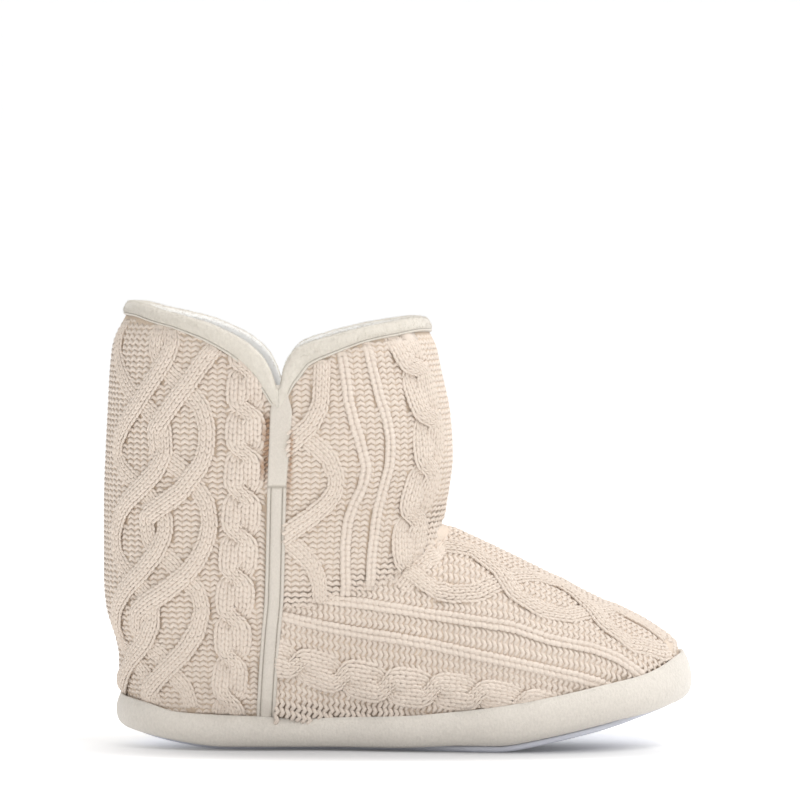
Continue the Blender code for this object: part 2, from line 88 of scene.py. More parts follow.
def ease(share: Any) -> np.ndarray:
    """Smooth step from 0 to 1 as a share goes from 0 to 1."""
    share = np.clip(share, 0.0, 1.0)
    return share * share * (3.0 - 2.0 * share)


def ramp(value: Any, low: float, high: float) -> np.ndarray:
    """Smooth step from 0 at low to 1 at high."""
    return ease((np.asarray(value, float) - low) / (high - low))


def bell(value: Any, width: float) -> np.ndarray:
    """1 at zero, falling off to both sides within about a width."""
    return np.exp(-((value / width) ** 2))


def through(stops: Sequence[Stop], at: Any) -> np.ndarray:
    """Value at a place on a smooth curve through the stops that never overshoots.

    Args:
        stops: The curve's stops, by rising place.
        at: Places to read, held inside the curve's ends.

    Returns:
        The curve's values.
    """
    places = np.array([stop[0] for stop in stops], float)
    values = np.array([stop[1] for stop in stops], float)
    secants = np.diff(values) / np.diff(places)
    product = secants[:-1] * secants[1:]
    total = secants[:-1] + secants[1:]
    slopes = np.empty_like(values)
    slopes[0], slopes[-1] = secants[0], secants[-1]
    slopes[1:-1] = np.where(product > 0, 2 * product / np.where(product > 0, total, 1.0), 0.0)
    at = np.clip(at, places[0], places[-1])
    low = np.clip(np.searchsorted(places, at, side="right") - 1, 0, len(places) - 2)
    span = places[low + 1] - places[low]
    share = (at - places[low]) / span
    rise = values[low + 1] - values[low]
    bend = slopes[low] * span - rise
    other_bend = slopes[low + 1] * span - rise
    return values[low] + share * rise + share * (1 - share) * ((1 - share) * bend - share * other_bend)


def signed_root(value: np.ndarray, power: float) -> np.ndarray:
    """Power of a value that keeps the value's sign."""
    return np.sign(value) * np.abs(value) ** power


def unit(vectors: np.ndarray) -> np.ndarray:
    """Vectors made one long."""
    return vectors / np.maximum(np.linalg.norm(vectors, axis=-1, keepdims=True), 1e-12)


def distance_to(points: np.ndarray, x: np.ndarray, z: np.ndarray) -> np.ndarray:
    """Distance in a plane from places to a line drawn through points.

    Args:
        points: The line's points, as rows of x and z.
        x: The places' x.
        z: The places' z.

    Returns:
        The distances.
    """
    nearest = np.full(np.broadcast(x, z).shape, np.inf)
    for start, end in zip(points[:-1], points[1:]):
        run = end - start
        share = np.clip(((x - start[0]) * run[0] + (z - start[1]) * run[1]) / (run @ run), 0.0, 1.0)
        nearest = np.minimum(nearest, np.hypot(x - start[0] - share * run[0], z - start[1] - share * run[1]))
    return nearest


def run_along(path: np.ndarray) -> np.ndarray:
    """Distance along a path at each of its points."""
    return np.concatenate([[0.0], np.cumsum(np.linalg.norm(np.diff(path, axis=0), axis=1))])


def read_path(at: np.ndarray, run: np.ndarray, rows: np.ndarray) -> np.ndarray:
    """Coordinates kept at the points of a path, read at distances along it.

    Args:
        at: Distances to read.
        run: Distance along the path at each point.
        rows: Row of coordinates for each point.

    Returns:
        The coordinates, along a last axis.
    """
    return np.stack([np.interp(at, run, column) for column in rows.T], axis=-1)


def beside(path: np.ndarray) -> np.ndarray:
    """Unit vectors to the right of a flat path, at each of its points."""
    tangent = unit(np.gradient(path, axis=0))
    return np.stack([tangent[:, 1], -tangent[:, 0]], axis=-1)


def all_round(count: int) -> np.ndarray:
    """Even angles of a whole turn in degrees, from 0 at the toe."""
    return np.linspace(0.0, 360.0, count, endpoint=False)


def toe_half(angles: np.ndarray) -> np.ndarray:
    """Share from 0 at the heel half to 1 beside the ball, and back to 0 at the toe's tip."""
    along = np.cos(np.radians(angles))
    return ramp(along, -0.05, 0.30) * (1 - ramp(along, 0.66, 0.88))


@dataclass
class SlipperForm:
    """The slipper's outside form, the same as the solid part's, from the same named sizes."""

    sole_length: float = 0.259
    ball_width: float = 0.102
    heel_width: float = 0.080
    toe_spring: float = 0.0215
    heel_lift: float = 0.0075
    flat_front: float = 0.040
    flat_back: float = -0.080
    spring_ease: float = 0.010
    rand_height: float = 0.0152
    rand_wall: float = 0.0034
    rand_bulge: float = 0.0045
    lean: float = 0.0024
    outsole_thickness: float = 0.0026
    outsole_inset: float = 0.0032
    foam_thickness: float = 0.0060
    insole_thickness: float = 0.0040
    shaft_height: float = 0.1987
    shaft_depth: float = 0.156
    shaft_width: float = 0.104
    shaft_centre: float = -0.0566
    side_seam: float = -0.0555
    instep_height: float = 0.0980
    wall: float = 0.0050
    crease_depth: float = 0.0015
    crease_width: float = 0.0070
    crease_fillet: float = 0.0110
    tuck_blend: float = 0.0090
    binding_crown: float = 0.0022
    clearance: float = 0.0003
    nose_spread: float = 0.7
    fullness: tuple[Stop, ...] = curve(
        (-1.00, 1.66), (-0.90, 1.59), (-0.75, 1.39), (-0.50, 1.13), (-0.20, 0.94), (0.10, 0.91),
        (0.40, 1.06), (0.60, 1.17), (0.80, 1.26), (0.90, 1.29), (1.00, 1.30),
    )
    middle: tuple[Stop, ...] = curve(
        (-1.00, 0.0), (-0.75, 0.0), (-0.50, -0.004), (-0.20, -0.012), (0.10, -0.018), (0.40, -0.004),
        (0.60, 0.016), (0.80, 0.038), (0.90, 0.048), (1.00, 0.056),
    )
    joint_line: tuple[Stop, ...] = curve(
        (-1.00, 1.45), (-0.90, 1.32), (-0.78, 1.08), (-0.61, 1.01), (-0.48, 0.97), (-0.36, 0.90),
        (-0.22, 0.95), (-0.02, 1.01), (0.19, 1.18), (0.38, 1.41), (0.54, 1.66), (0.68, 1.90),
        (0.84, 2.15), (0.92, 2.38), (0.965, 2.56), (1.00, 2.66),
    )
    ridge_line: tuple[Stop, ...] = curve(
        (-1.00, 1.10), (-0.15, 1.08), (0.13, 1.000), (0.27, 0.921), (0.41, 0.833), (0.555, 0.737),
        (0.69, 0.648), (0.80, 0.579), (0.90, 0.503), (0.935, 0.466), (0.953, 0.425),
    )
    shaft: tuple[Section, ...] = (
        Section(0.00, -0.444, 0.340, 0.735), Section(0.12, -0.453, 0.370, 0.760),
        Section(0.16, -0.459, 0.382, 0.770), Section(0.20, -0.460, 0.395, 0.785),
        Section(0.24, -0.470, 0.408, 0.800), Section(0.27, -0.483, 0.418, 0.820),
        Section(0.31, -0.496, 0.431, 0.840), Section(0.37, -0.502, 0.445, 0.860),
        Section(0.50, -0.502, 0.470, 0.890), Section(0.57, -0.501, 0.489, 0.925),
        Section(0.65, -0.497, 0.500, 0.970), Section(0.74, -0.491, 0.493, 1.000),
        Section(0.84, -0.484, 0.467, 0.985), Section(0.90, -0.475, 0.450, 0.970),
        Section(0.95, -0.449, 0.418, 0.945), Section(1.00, -0.414, 0.386, 0.915),
    )
    collar_line: tuple[Stop, ...] = curve(
        (0, 0.961), (14, 0.965), (37, 0.955), (52.5, 0.943), (70, 0.922), (81, 0.902), (86.8, 0.863),
        (90, 0.812), (93, 0.852), (96.2, 0.885), (101.4, 0.915), (109, 0.940), (118, 0.960),
        (139, 0.984), (160, 0.999), (180, 1.000),
    )
    vamp_seam: tuple[Stop, ...] = curve(
        (-0.412, 0.648), (-0.256, 0.688), (-0.188, 0.719), (-0.117, 0.747), (-0.041, 0.790),
        (0.010, 0.836), (0.039, 0.867), (0.087, 0.913), (0.131, 1.010),
    )
    tape_line: tuple[Stop, ...] = curve(
        (0.085, -0.4740), (0.191, -0.4640), (0.268, -0.4550), (0.357, -0.4440), (0.468, -0.4390),
        (0.592, -0.4340), (0.712, -0.4220), (0.753, -0.4190),
    )

    @property
    def half_length(self) -> float:
        """Half of the sole's length."""
        return self.sole_length / 2

    def half_width(self, station: np.ndarray) -> np.ndarray:
        """Half of the heel's width at the back, passing to half of the ball's width in front."""
        front = ramp(station, -0.4, 0.3)
        return (self.heel_width * (1 - front) + self.ball_width * front) / 2

    def outline(self, angle: Any, inset: Any = 0.0) -> tuple[np.ndarray, np.ndarray]:
        """Points of the sole's outline.

        Args:
            angle: Angles round the outline in degrees, 0 at the toe.
            inset: Distance moved inwards.

        Returns:
            The points' x and y.
        """

        def plain(turn: np.ndarray) -> tuple[np.ndarray, np.ndarray]:
            """Points of the outline before it is moved inwards."""
            station = np.cos(turn)
            half = through(self.fullness, station) * self.half_width(station)
            centre = through(self.middle, station) * self.ball_width
            return self.half_length * station, centre + half * np.sin(turn)

        turn = np.radians(np.asarray(angle, float))
        step = math.radians(0.5)
        x, y = plain(turn)
        before, after = plain(turn - step), plain(turn + step)
        along_x, along_y = after[0] - before[0], after[1] - before[1]
        length = np.hypot(along_x, along_y)
        return x - inset * along_y / length, y + inset * along_x / length

    def toe_lean(self, angle: Any) -> np.ndarray:
        """How far the sole's side leans inwards at its upper edge, round the toe."""
        return self.lean * ramp(np.cos(np.radians(angle)), 0.6, 1.0)

    def underside(self, x: np.ndarray) -> np.ndarray:
        """Height of the sole's underside."""

        def rise(run: Any) -> np.ndarray:
            """Height that starts softly and then grows with the distance run."""
            return np.hypot(np.maximum(run, 0.0), self.spring_ease) - self.spring_ease

        toe = self.toe_spring * rise(x - self.flat_front) / rise(self.half_length - self.flat_front)
        heel = self.heel_lift * rise(self.flat_back - x) / rise(self.flat_back + self.half_length)
        return toe + heel

    def joint_height(self, x: np.ndarray) -> np.ndarray:
        """Height of the padded sole's upper edge."""
        return through(self.joint_line, x / self.half_length) * self.rand_height

    def seat_height(self, x: np.ndarray) -> np.ndarray:
        """Height of the foam that the insole rests on."""
        return self.underside(x) + self.outsole_thickness + self.clearance + self.foam_thickness

    def ridge_height(self, x: np.ndarray) -> np.ndarray:
        """Height of the top of the foot."""
        return through(self.ridge_line, x / self.half_length) * self.instep_height

    def seam_height(self, x: np.ndarray) -> np.ndarray:
        """Height of the seam between shaft and vamp."""
        return through(self.vamp_seam, x / self.half_length) * self.instep_height

    def seam_gap(self, x: np.ndarray, z: np.ndarray) -> np.ndarray:
        """Distance to the seam between shaft and vamp, seen from the side."""
        seam = [(stop.place * self.half_length, stop.value * self.instep_height) for stop in self.vamp_seam]
        return distance_to(np.array(seam), x, z)

    def foot_half_width(self, x: np.ndarray, z: np.ndarray) -> np.ndarray:
        """Half width of the foot's arch over the sole, negative outside it."""
        reach = self.half_length - self.rand_wall - np.where(x > 0, self.lean, 0.0)
        station = np.clip(x / reach, -1.0, 1.0)
        half = through(self.fullness, station) * self.half_width(station) - self.rand_wall
        joint = self.joint_height(x)
        share = np.maximum(z - joint, 0.0) / np.maximum(self.ridge_height(x) - joint, 0.001)
        return half * np.sqrt(1 - station**2) * signed_root(1 - share**2.2, 0.5)

    def shaft_share(self, column: str, z: np.ndarray) -> np.ndarray:
        """Back, front or width of the shaft's section at a height, in the section's own units."""
        return through([Stop(row.height, getattr(row, column)) for row in self.shaft], z / self.shaft_height)

    def shaft_ends(self, z: np.ndarray) -> tuple[np.ndarray, np.ndarray]:
        """Back and front of the shaft's section at a height."""
        back, front = self.shaft_share("back", z), self.shaft_share("front", z)
        return self.shaft_centre + back * self.shaft_depth, self.shaft_centre + front * self.shaft_depth

    def shaft_half_width(self, x: np.ndarray, z: np.ndarray) -> np.ndarray:
        """Half width of the shaft's oval section, negative outside it."""
        back, front = self.shaft_ends(z)
        station = (2 * x - back - front) / (front - back)
        oval = signed_root(1 - np.abs(station) ** 2.3, 0.48)
        return self.shaft_share("width", z) * self.shaft_width / 2 * oval

    def body_half_width(self, x: np.ndarray, z: np.ndarray) -> np.ndarray:
        """Half width of foot and shaft together, with a soft fold where the shaft meets the vamp."""
        foot, shaft = self.foot_half_width(x, z), self.shaft_half_width(x, z)
        front = ramp(x / self.half_length, -0.35, 0.0)
        fillet = self.crease_fillet * front * ramp(np.minimum(foot, shaft), 0.0, 0.010)
        joined = (foot + shaft + np.sqrt((foot - shaft) ** 2 + fillet**2)) / 2
        crease = bell(self.seam_gap(x, z), self.crease_width)
        return joined - self.crease_depth * crease * ramp(joined, 0.0, 0.012)

    def front_of_foot(self, z: np.ndarray) -> np.ndarray:
        """How far forward the top of the foot reaches at a height."""
        stations = np.linspace(-0.15, self.ridge_line[-1].place, 200) * self.half_length
        heights = self.ridge_height(stations)
        ahead = np.interp(-np.asarray(z), -heights, stations)
        return np.where(z < heights[-1], self.half_length - self.rand_wall - self.lean, ahead)

    def side_centre(self, x: np.ndarray, z: np.ndarray) -> np.ndarray:
        """Sideways shift of the foot's middle line, which fades out towards the shaft."""
        shift = through(self.middle, x / self.half_length) * self.ball_width
        return shift * (1 - ramp(z, 0.4 * self.instep_height, self.instep_height))

    @staticmethod
    def off_toe(angle: Any) -> np.ndarray:
        """Degrees from the toe's direction to an angle, either way round."""
        return np.abs((np.asarray(angle, float) + 180.0) % 360.0 - 180.0)

    def between_ends(self, angle: Any, back: Any, front: Any) -> np.ndarray:
        """Length coordinate of an angle round the form in a section from back to front.

        Args:
            angle: Angle in degrees, 0 at the toe.
            back: Length coordinate of the section's back.
            front: Length coordinate of its front.

        Returns:
            The length coordinates.
        """
        side = self.off_toe(angle)
        ahead = np.minimum(side / 90.0, 1.0)
        nose = 1 - ahead**2 / (self.nose_spread * ahead + 1 - self.nose_spread)
        share = np.where(side < 90.0, nose, np.cos(np.radians(np.maximum(side, 90.0))))
        seam = self.side_seam
        return seam + np.where(share > 0, share * (front - seam), share * (seam - back))

    def sole_angle(self, angle: Any) -> np.ndarray:
        """Angle on the sole's outline that a place on the upper stands over."""
        station = self.between_ends(angle, -self.half_length, self.half_length) / self.half_length
        half_turn = np.degrees(np.arccos(np.clip(station, -1.0, 1.0)))
        return np.where(np.asarray(angle, float) % 360.0 > 180.0, 360.0 - half_turn, half_turn)

    def point(self, angle: Any, z: Any) -> np.ndarray:
        """Points of the upper's outside at angles round it and heights.

        Args:
            angle: Angles in degrees, 0 at the toe and 270 on the outer side.
            z: Heights.

        Returns:
            The points, along a last axis.
        """
        under = self.sole_angle(angle)
        inset = self.rand_wall + self.toe_lean(under) + self.clearance
        tucked_x, tucked_y = self.outline(under, inset)
        back, front = self.shaft_ends(z)
        x = self.between_ends(angle, back, np.maximum(front, self.front_of_foot(z)))
        half = np.maximum(self.body_half_width(x, z), 0.0)
        y = self.side_centre(x, z) + np.sign(np.sin(np.radians(angle))) * half
        free = ease((z - self.joint_height(tucked_x)) / self.tuck_blend)
        x, y = tucked_x + (x - tucked_x) * free, tucked_y + (y - tucked_y) * free
        return np.stack(np.broadcast_arrays(x, y, z), axis=-1)

    def slopes(self, angle: Any, z: Any, turn: float, lift: float) -> tuple[np.ndarray, np.ndarray]:
        """Differences of the upper's outside over a turn to both sides and over a lift both ways."""
        round_it = self.point(angle + turn, z) - self.point(angle - turn, z)
        up_it = self.point(angle, z + lift) - self.point(angle, z - lift)
        return round_it, up_it

    def outward(self, angle: Any, z: Any) -> np.ndarray:
        """Unit normals of the upper's outside."""
        return unit(np.cross(*self.slopes(angle, z, 1.2, 0.0012)))

    def collar_height(self, angle: Any) -> np.ndarray:
        """Height of the upper's top edge, which dips to a notch at each side."""
        return through(self.collar_line, self.off_toe(angle)) * self.shaft_height - self.binding_crown

    def tape_middle(self, z: Any) -> np.ndarray:
        """Length coordinate of the side tape's middle at a height."""
        return through(self.tape_line, np.asarray(z) / self.shaft_height) * self.half_length


def finish_mesh(name: str, points: np.ndarray, quads: np.ndarray, tris: np.ndarray | None = None,
                tones: np.ndarray | None = None) -> bpy.types.Object:
    """Object from arrays, shaded smooth, linked to the scene.

    Args:
        name: The piece's name.
        points: Vertices in metres.
        quads: Rows of four vertex numbers.
        tris: Rows of three vertex numbers.
        tones: Shade of each vertex, kept as the attribute "tone".

    Returns:
        The new object.
    """
    tris = np.zeros((0, 3), int) if tris is None else tris
    mesh = bpy.data.meshes.new(name)
    mesh.vertices.add(len(points))
    mesh.vertices.foreach_set("co", np.ascontiguousarray(points, np.float32).ravel())
    loops = np.concatenate([quads.ravel(), tris.ravel()]).astype(np.int32)
    mesh.loops.add(len(loops))
    mesh.loops.foreach_set("vertex_index", loops)
    starts = np.concatenate([np.arange(len(quads)) * 4, len(quads) * 4 + np.arange(len(tris)) * 3])
    mesh.polygons.add(len(starts))
    mesh.polygons.foreach_set("loop_start", starts.astype(np.int32))
    mesh.update(calc_edges=True)
    mesh.validate()
    mesh.shade_smooth()
    if tones is not None:
        attribute = mesh.attributes.new("tone", "FLOAT", "POINT")
        attribute.data.foreach_set("value", np.ascontiguousarray(tones, np.float32))
    piece = bpy.data.objects.new(name, mesh)
    bpy.context.scene.collection.objects.link(piece)
    return piece


def outward_faces(piece: bpy.types.Object) -> None:
    """Turns a closed piece's faces outwards."""
    shell = bmesh.new()
    shell.from_mesh(piece.data)
    bmesh.ops.recalc_face_normals(shell, faces=shell.faces)
    shell.to_mesh(piece.data)
    shell.free()


def loft(name: str, rings: np.ndarray, closed_round: bool = True, loop: bool = False,
         capped: bool = False, tones: np.ndarray | None = None) -> bpy.types.Object:
    """Object whose faces join each ring of points to the next.

    Args:
        name: The piece's name.
        rings: Array of rings, points and coordinates.
        closed_round: True where each ring's last point joins its first.
        loop: True where the last ring joins the first.
        capped: True where the first and last ring are closed with a fan.
        tones: Shade of each point of the rings.

    Returns:
        The new object, with its faces outwards where it is closed.
    """
    rings = np.asarray(rings, float)
    count, around = rings.shape[:2]
    numbers = np.arange(count * around).reshape(count, around)
    low = numbers if loop else numbers[:-1]
    high = np.roll(numbers, -1, axis=0) if loop else numbers[1:]
    if closed_round:
        quads = np.stack([low, np.roll(low, -1, 1), np.roll(high, -1, 1), high], axis=-1)
    else:
        quads = np.stack([low[:, :-1], low[:, 1:], high[:, 1:], high[:, :-1]], axis=-1)
    points = rings.reshape(-1, 3)
    tris = np.zeros((0, 3), int)
    if capped:
        ends = np.stack([rings[0].mean(axis=0), rings[-1].mean(axis=0)])
        first, last = numbers[0], numbers[-1]
        top, bottom = len(points), len(points) + 1
        points = np.concatenate([points, ends])
        fan = [(top, b, a) for a, b in zip(first, np.roll(first, -1))]
        fan += [(bottom, a, b) for a, b in zip(last, np.roll(last, -1))]
        tris = np.array(fan)
    if tones is not None:
        tones = np.pad(np.ravel(tones), (0, len(points) - count * around))
    piece = finish_mesh(name, points, quads.reshape(-1, 4), tris, tones)
    if loop or capped:
        outward_faces(piece)
    return piece


def stitched(bag: "YarnBag", path: np.ndarray, normal: np.ndarray, pitch: float = 0.0030,
             thread: float = 0.00022) -> None:
    """Adds a row of stitches to a bag of yarn.

    Args:
        bag: The bag.
        path: Points of the seam, in order.
        normal: Direction away from the slipper at each.
        pitch: Distance from one stitch to the next.
        thread: Half thickness of the thread.
    """
    run = run_along(path)
    starts = np.arange(pitch / 2, run[-1] - pitch / 2, pitch)
    t = np.linspace(-1.0, 1.0, 4)
    at = starts[:, None] + t * pitch * 0.38
    middle, away = read_path(at, run, path), unit(read_path(at, run, normal))
    lift = thread * (0.9 - 1.5 * t**2)
    bag.add(middle + away * lift[:, None], away, thread, thread * 0.8, 0.5)


def fuzz(name: str, points: np.ndarray, normals: np.ndarray, count: int, length: float,
         seed: int) -> bpy.types.Object:
    """Short fibres that stand out of a pile, each a slim closed spike.

    Args:
        name: The piece's name.
        points: Grid of points on the pile, as rings by places by coordinates.
        normals: Direction away from the pile at each.
        count: Number of fibres.
        length: Longest fibre.
        seed: Seed of their places.

    Returns:
        The fibres as one object.
    """
    thick, rooted, spread = 0.00013, 0.0003, 0.45
    chance = np.random.default_rng(seed)
    row = chance.integers(0, points.shape[0] - 1, count)
    column = chance.integers(0, points.shape[1] - 1, count)
    down, over = chance.random((2, count, 1))
    near = points[row, column] * (1 - down) + points[row + 1, column] * down
    far = points[row, column + 1] * (1 - down) + points[row + 1, column + 1] * down
    spot = near * (1 - over) + far * over
    away = unit(normals[row, column] + chance.normal(0.0, spread, (count, 3)))
    wide = unit(np.cross(away, chance.normal(0.0, 1.0, (count, 3)))) * thick
    deep = np.cross(away, wide)
    tip = spot + away * (length * chance.uniform(0.4, 1.0, (count, 1)))
    root = spot - away * rooted
    back = root - wide * 0.5
    block = np.stack([root + wide, back + deep * 0.87, back - deep * 0.87, tip], axis=1)
    base = np.arange(count)[:, None, None] * 4
    tris = (base + np.array([[0, 1, 3], [1, 2, 3], [2, 0, 3], [0, 2, 1]])).reshape(-1, 3)
    return finish_mesh(name, block.reshape(-1, 3), np.zeros((0, 4), int), tris)


@dataclass
class Cloth:
    """A flat piece of knitting laid on the form: a grid of places with normals.

    Across runs from wale to wale and along runs with the wales, both in metres on the cloth.
    """

    across: np.ndarray
    along: np.ndarray
    points: np.ndarray
    normals: np.ndarray
    top: np.ndarray

    def _blend(self, grid: np.ndarray, across: np.ndarray, along: np.ndarray) -> np.ndarray:
        """Values of a grid between its nodes, carried on in a straight line beyond its edges.

        Args:
            grid: Rows along the wales, columns across them, and coordinates.
            across: Places across the wales.
            along: Places along the wales.

        Returns:
            The coordinates, along a last axis.
        """
        column = (across - self.across[0]) / (self.across[1] - self.across[0])
        row = (along - self.along[0]) / (self.along[1] - self.along[0])
        low_c = np.clip(column.astype(int), 0, len(self.across) - 2)
        low_r = np.clip(row.astype(int), 0, len(self.along) - 2)
        c, r = (column - low_c)[..., None], (row - low_r)[..., None]
        near = grid[low_r, low_c] * (1 - c) + grid[low_r, low_c + 1] * c
        far = grid[low_r + 1, low_c] * (1 - c) + grid[low_r + 1, low_c + 1] * c
        return near * (1 - r) + far * r

    def place(self, across: np.ndarray, along: np.ndarray) -> tuple[np.ndarray, np.ndarray]:
        """Places on the form of points of the cloth, and the unit normals there."""
        return self._blend(self.points, across, along), unit(self._blend(self.normals, across, along))

    def ceiling(self, across: np.ndarray, along: np.ndarray) -> np.ndarray:
        """Height of the collar's edge above points of the cloth."""
        return self._blend(self.top[..., None], across, along)[..., 0]

    def chart(self, lanes: Sequence[Lane], by_length: bool = False) -> np.ndarray:
        """Coordinates on the cloth of places seen from the side.

        Args:
            lanes: Places in the side view.
            by_length: True where the wales run along the foot, False where they run upwards.

        Returns:
            Rows of across and along.
        """
        result = []
        for lane in lanes:
            x, z = lane[0] * MM, lane[1] * MM
            along = x if by_length else z
            row = (along - self.along[0]) / (self.along[1] - self.along[0])
            row = np.clip(row, 0, len(self.along) - 1.001)
            low, share = int(row), row - int(row)
            line = self.points[low] * (1 - share) + self.points[low + 1] * share
            seen, wanted = (line[:, 2], z) if by_length else (line[:, 0], x)
            order = np.argsort(seen, kind="stable")
            result.append((float(np.interp(wanted, seen[order], self.across[order])), along))
        return np.array(result)


@dataclass
class ClothCutter:
    """Cuts the upper's cloths to the form: back and front of the shaft, and the vamp."""

    form: SlipperForm
    step: float = 0.0020
    back_width: float = 0.100
    front_width: float = 0.100
    rib_high: tuple[Lane, ...] = lane_line(
        (-46.2, 68.9), (-31.3, 67.0), (-19.4, 65.5), (-2.2, 62.7), (10.6, 60.4), (24.3, 58.4),
        (46.3, 55.4), (63.1, 49.7), (83.1, 45.4), (93.8, 41.1), (106.1, 32.1), (116.0, 21.6),
    )
    rib_low: tuple[Lane, ...] = lane_line(
        (-61.6, 62.3), (-53.3, 60.0), (-37.0, 56.0), (-21.2, 52.7), (-1.3, 49.6), (18.1, 45.8),
        (33.0, 42.5), (59.4, 36.9), (75.4, 33.1), (86.5, 29.7), (104.3, 21.5),
    )
    rope: tuple[Lane, ...] = lane_line(
        (-61.7, 42.7), (-52.9, 40.9), (-31.4, 33.5), (-12.4, 29.7), (6.6, 27.7), (24.2, 27.0),
        (41.8, 24.6), (59.4, 21.0), (86.0, 10.0),
    )
    rib_high_at: float = 0.048
    rib_low_at: float = 0.0605
    rope_at: float = 0.080
    vamp_width: float = 0.112

    def back(self, side: Side) -> Cloth:
        """Cloth from a side seam to the middle of the back, wales upright."""
        heights = np.arange(0.012, 0.2005, self.step)
        angles = side.value + side.sign * np.linspace(0.0, 90.0, 181)
        grid = self.form.point(angles[None, :], heights[:, None])
        return self._even(angles, heights, grid, grid, self.back_width)

    def front(self, side: Side) -> Cloth:
        """Cloth from a side seam to the shin, wales upright, down to the seam with the vamp."""
        form = self.form
        heights = np.arange(0.060, 0.2005, self.step)
        angles = side.value - side.sign * np.linspace(0.0, 90.0, 181)
        back, front = form.shaft_ends(heights[:, None])
        x = form.between_ends(angles[None, :], back, front)
        own = np.stack([x, np.maximum(form.shaft_half_width(x, heights[:, None]), 0.0)], axis=-1)
        half = np.maximum(form.body_half_width(x, heights[:, None]), 0.0)
        y = side.sign * half + form.side_centre(x, heights[:, None])
        grid = np.stack([x, y, heights[:, None] * np.ones_like(x)], axis=-1)
        return self._even(angles, heights, grid, own, self.front_width)

    def _even(self, angles: np.ndarray, heights: np.ndarray, grid: np.ndarray, paced: np.ndarray,
              width: float) -> Cloth:
        """Cloth with evenly spaced columns from level sections.

        Args:
            angles: Angle of each point of a section.
            heights: Height of each section.
            grid: Points of the sections.
            paced: The same sections where the distances between points set the columns.
            width: Width of the cloth.

        Returns:
            The cloth.
        """
        run = np.cumsum(np.linalg.norm(np.diff(paced, axis=1), axis=-1), axis=1)
        run = np.concatenate([np.zeros((len(heights), 1)), run], axis=1)
        share = run / run[:, -1:]
        columns = np.linspace(0.0, 1.0, int(round(width / self.step)) + 1)
        even = np.empty((len(heights), len(columns), 3))
        top = np.empty(even.shape[:2])
        collar = self.form.collar_height(angles)
        for row in range(len(heights)):
            top[row] = np.interp(columns, share[row], collar)
            even[row] = read_path(columns, share[row], grid[row])
        return Cloth(columns * width, heights, even, self._normals(even, middle_last=True), top)

    def vamp(self, side: Side) -> Cloth:
        """Cloth from the top of the foot down to the sole on one side, wales along the foot."""
        form = self.form
        lengths = np.arange(-0.064, 0.1232, self.step)
        pace_ends, low_gap, rope_gap, spare = 0.013, 0.006, 0.014, 0.060
        columns = np.arange(0.0, self.vamp_width + 1e-9, self.step)
        even = np.empty((len(lengths), len(columns), 3))
        pace = 1.0
        for row in reversed(range(len(lengths))):
            x = lengths[row]
            joint, ridge = float(form.joint_height(x)), float(form.ridge_height(x))
            z = ridge - (ridge - joint + 0.004) * np.linspace(0.0, 1.0, 260) ** 2
            y = side.sign * np.maximum(form.body_half_width(x, z), 0.0) + form.side_centre(x, z)
            line = np.stack([np.full_like(z, x), y, z], axis=-1)
            run = run_along(line)
            marks = []
            for lanes in (self.rib_high, self.rib_low, self.rope):
                height = np.interp(x / MM, [lane.x for lane in lanes], [lane.z for lane in lanes]) * MM
                marks.append(float(np.interp(-height, -z, run)) + max(z[-1] - height, 0.0))
            if x > pace_ends:
                pace = self.rib_high_at / marks[0]
            knots = [(self.rib_high_at - marks[0] * pace, 0.0), (self.rib_high_at, marks[0]),
                     (self.rib_low_at, max(marks[1], marks[0] + low_gap)),
                     (self.rope_at, max(marks[2], marks[0] + rope_gap))]
            knots.append((self.rope_at + spare, knots[-1][1] + spare))
            cloth_at, run_at = np.array(knots).T
            wanted = np.interp(columns, cloth_at, run_at) + np.minimum(columns - cloth_at[0], 0.0) / pace
            even[row] = read_path(wanted, run, line)
            even[row, :, 2] -= np.maximum(wanted - run[-1], 0.0)
            even[row, :, 2] += np.maximum(-wanted, 0.0)
        top = np.full(even.shape[:2], 1.0)
        return Cloth(columns, lengths, even, self._normals(even, middle_last=False), top)

    @staticmethod
    def _normals(grid: np.ndarray, middle_last: bool) -> np.ndarray:
        """Unit normals of a grid that meets its mirror image at its last or first column.

        Args:
            grid: Points of the cloth.
            middle_last: True where the slipper's middle is at the last column.

        Returns:
            The normals, all away from the slipper.
        """
        flip = grid if middle_last else grid[:, ::-1]
        beyond = flip[:, -2].copy()
        beyond[:, 1] = 2 * flip[:, -1, 1] - beyond[:, 1]
        padded = np.concatenate([2 * flip[:, :1] - flip[:, 1:2], flip, beyond[:, None]], axis=1)
        across = padded[:, 2:] - padded[:, :-2]
        if not middle_last:
            across = across[:, ::-1]
        normals = unit(np.cross(across, np.gradient(grid, axis=0)))
        outer = (grid - np.array([-0.03, 0.0, 0.06])) * np.array([0.15, 1.0, 1.0])
        sign = np.sign(np.sum(normals * outer, axis=(0, 1)).sum())
        return normals * sign


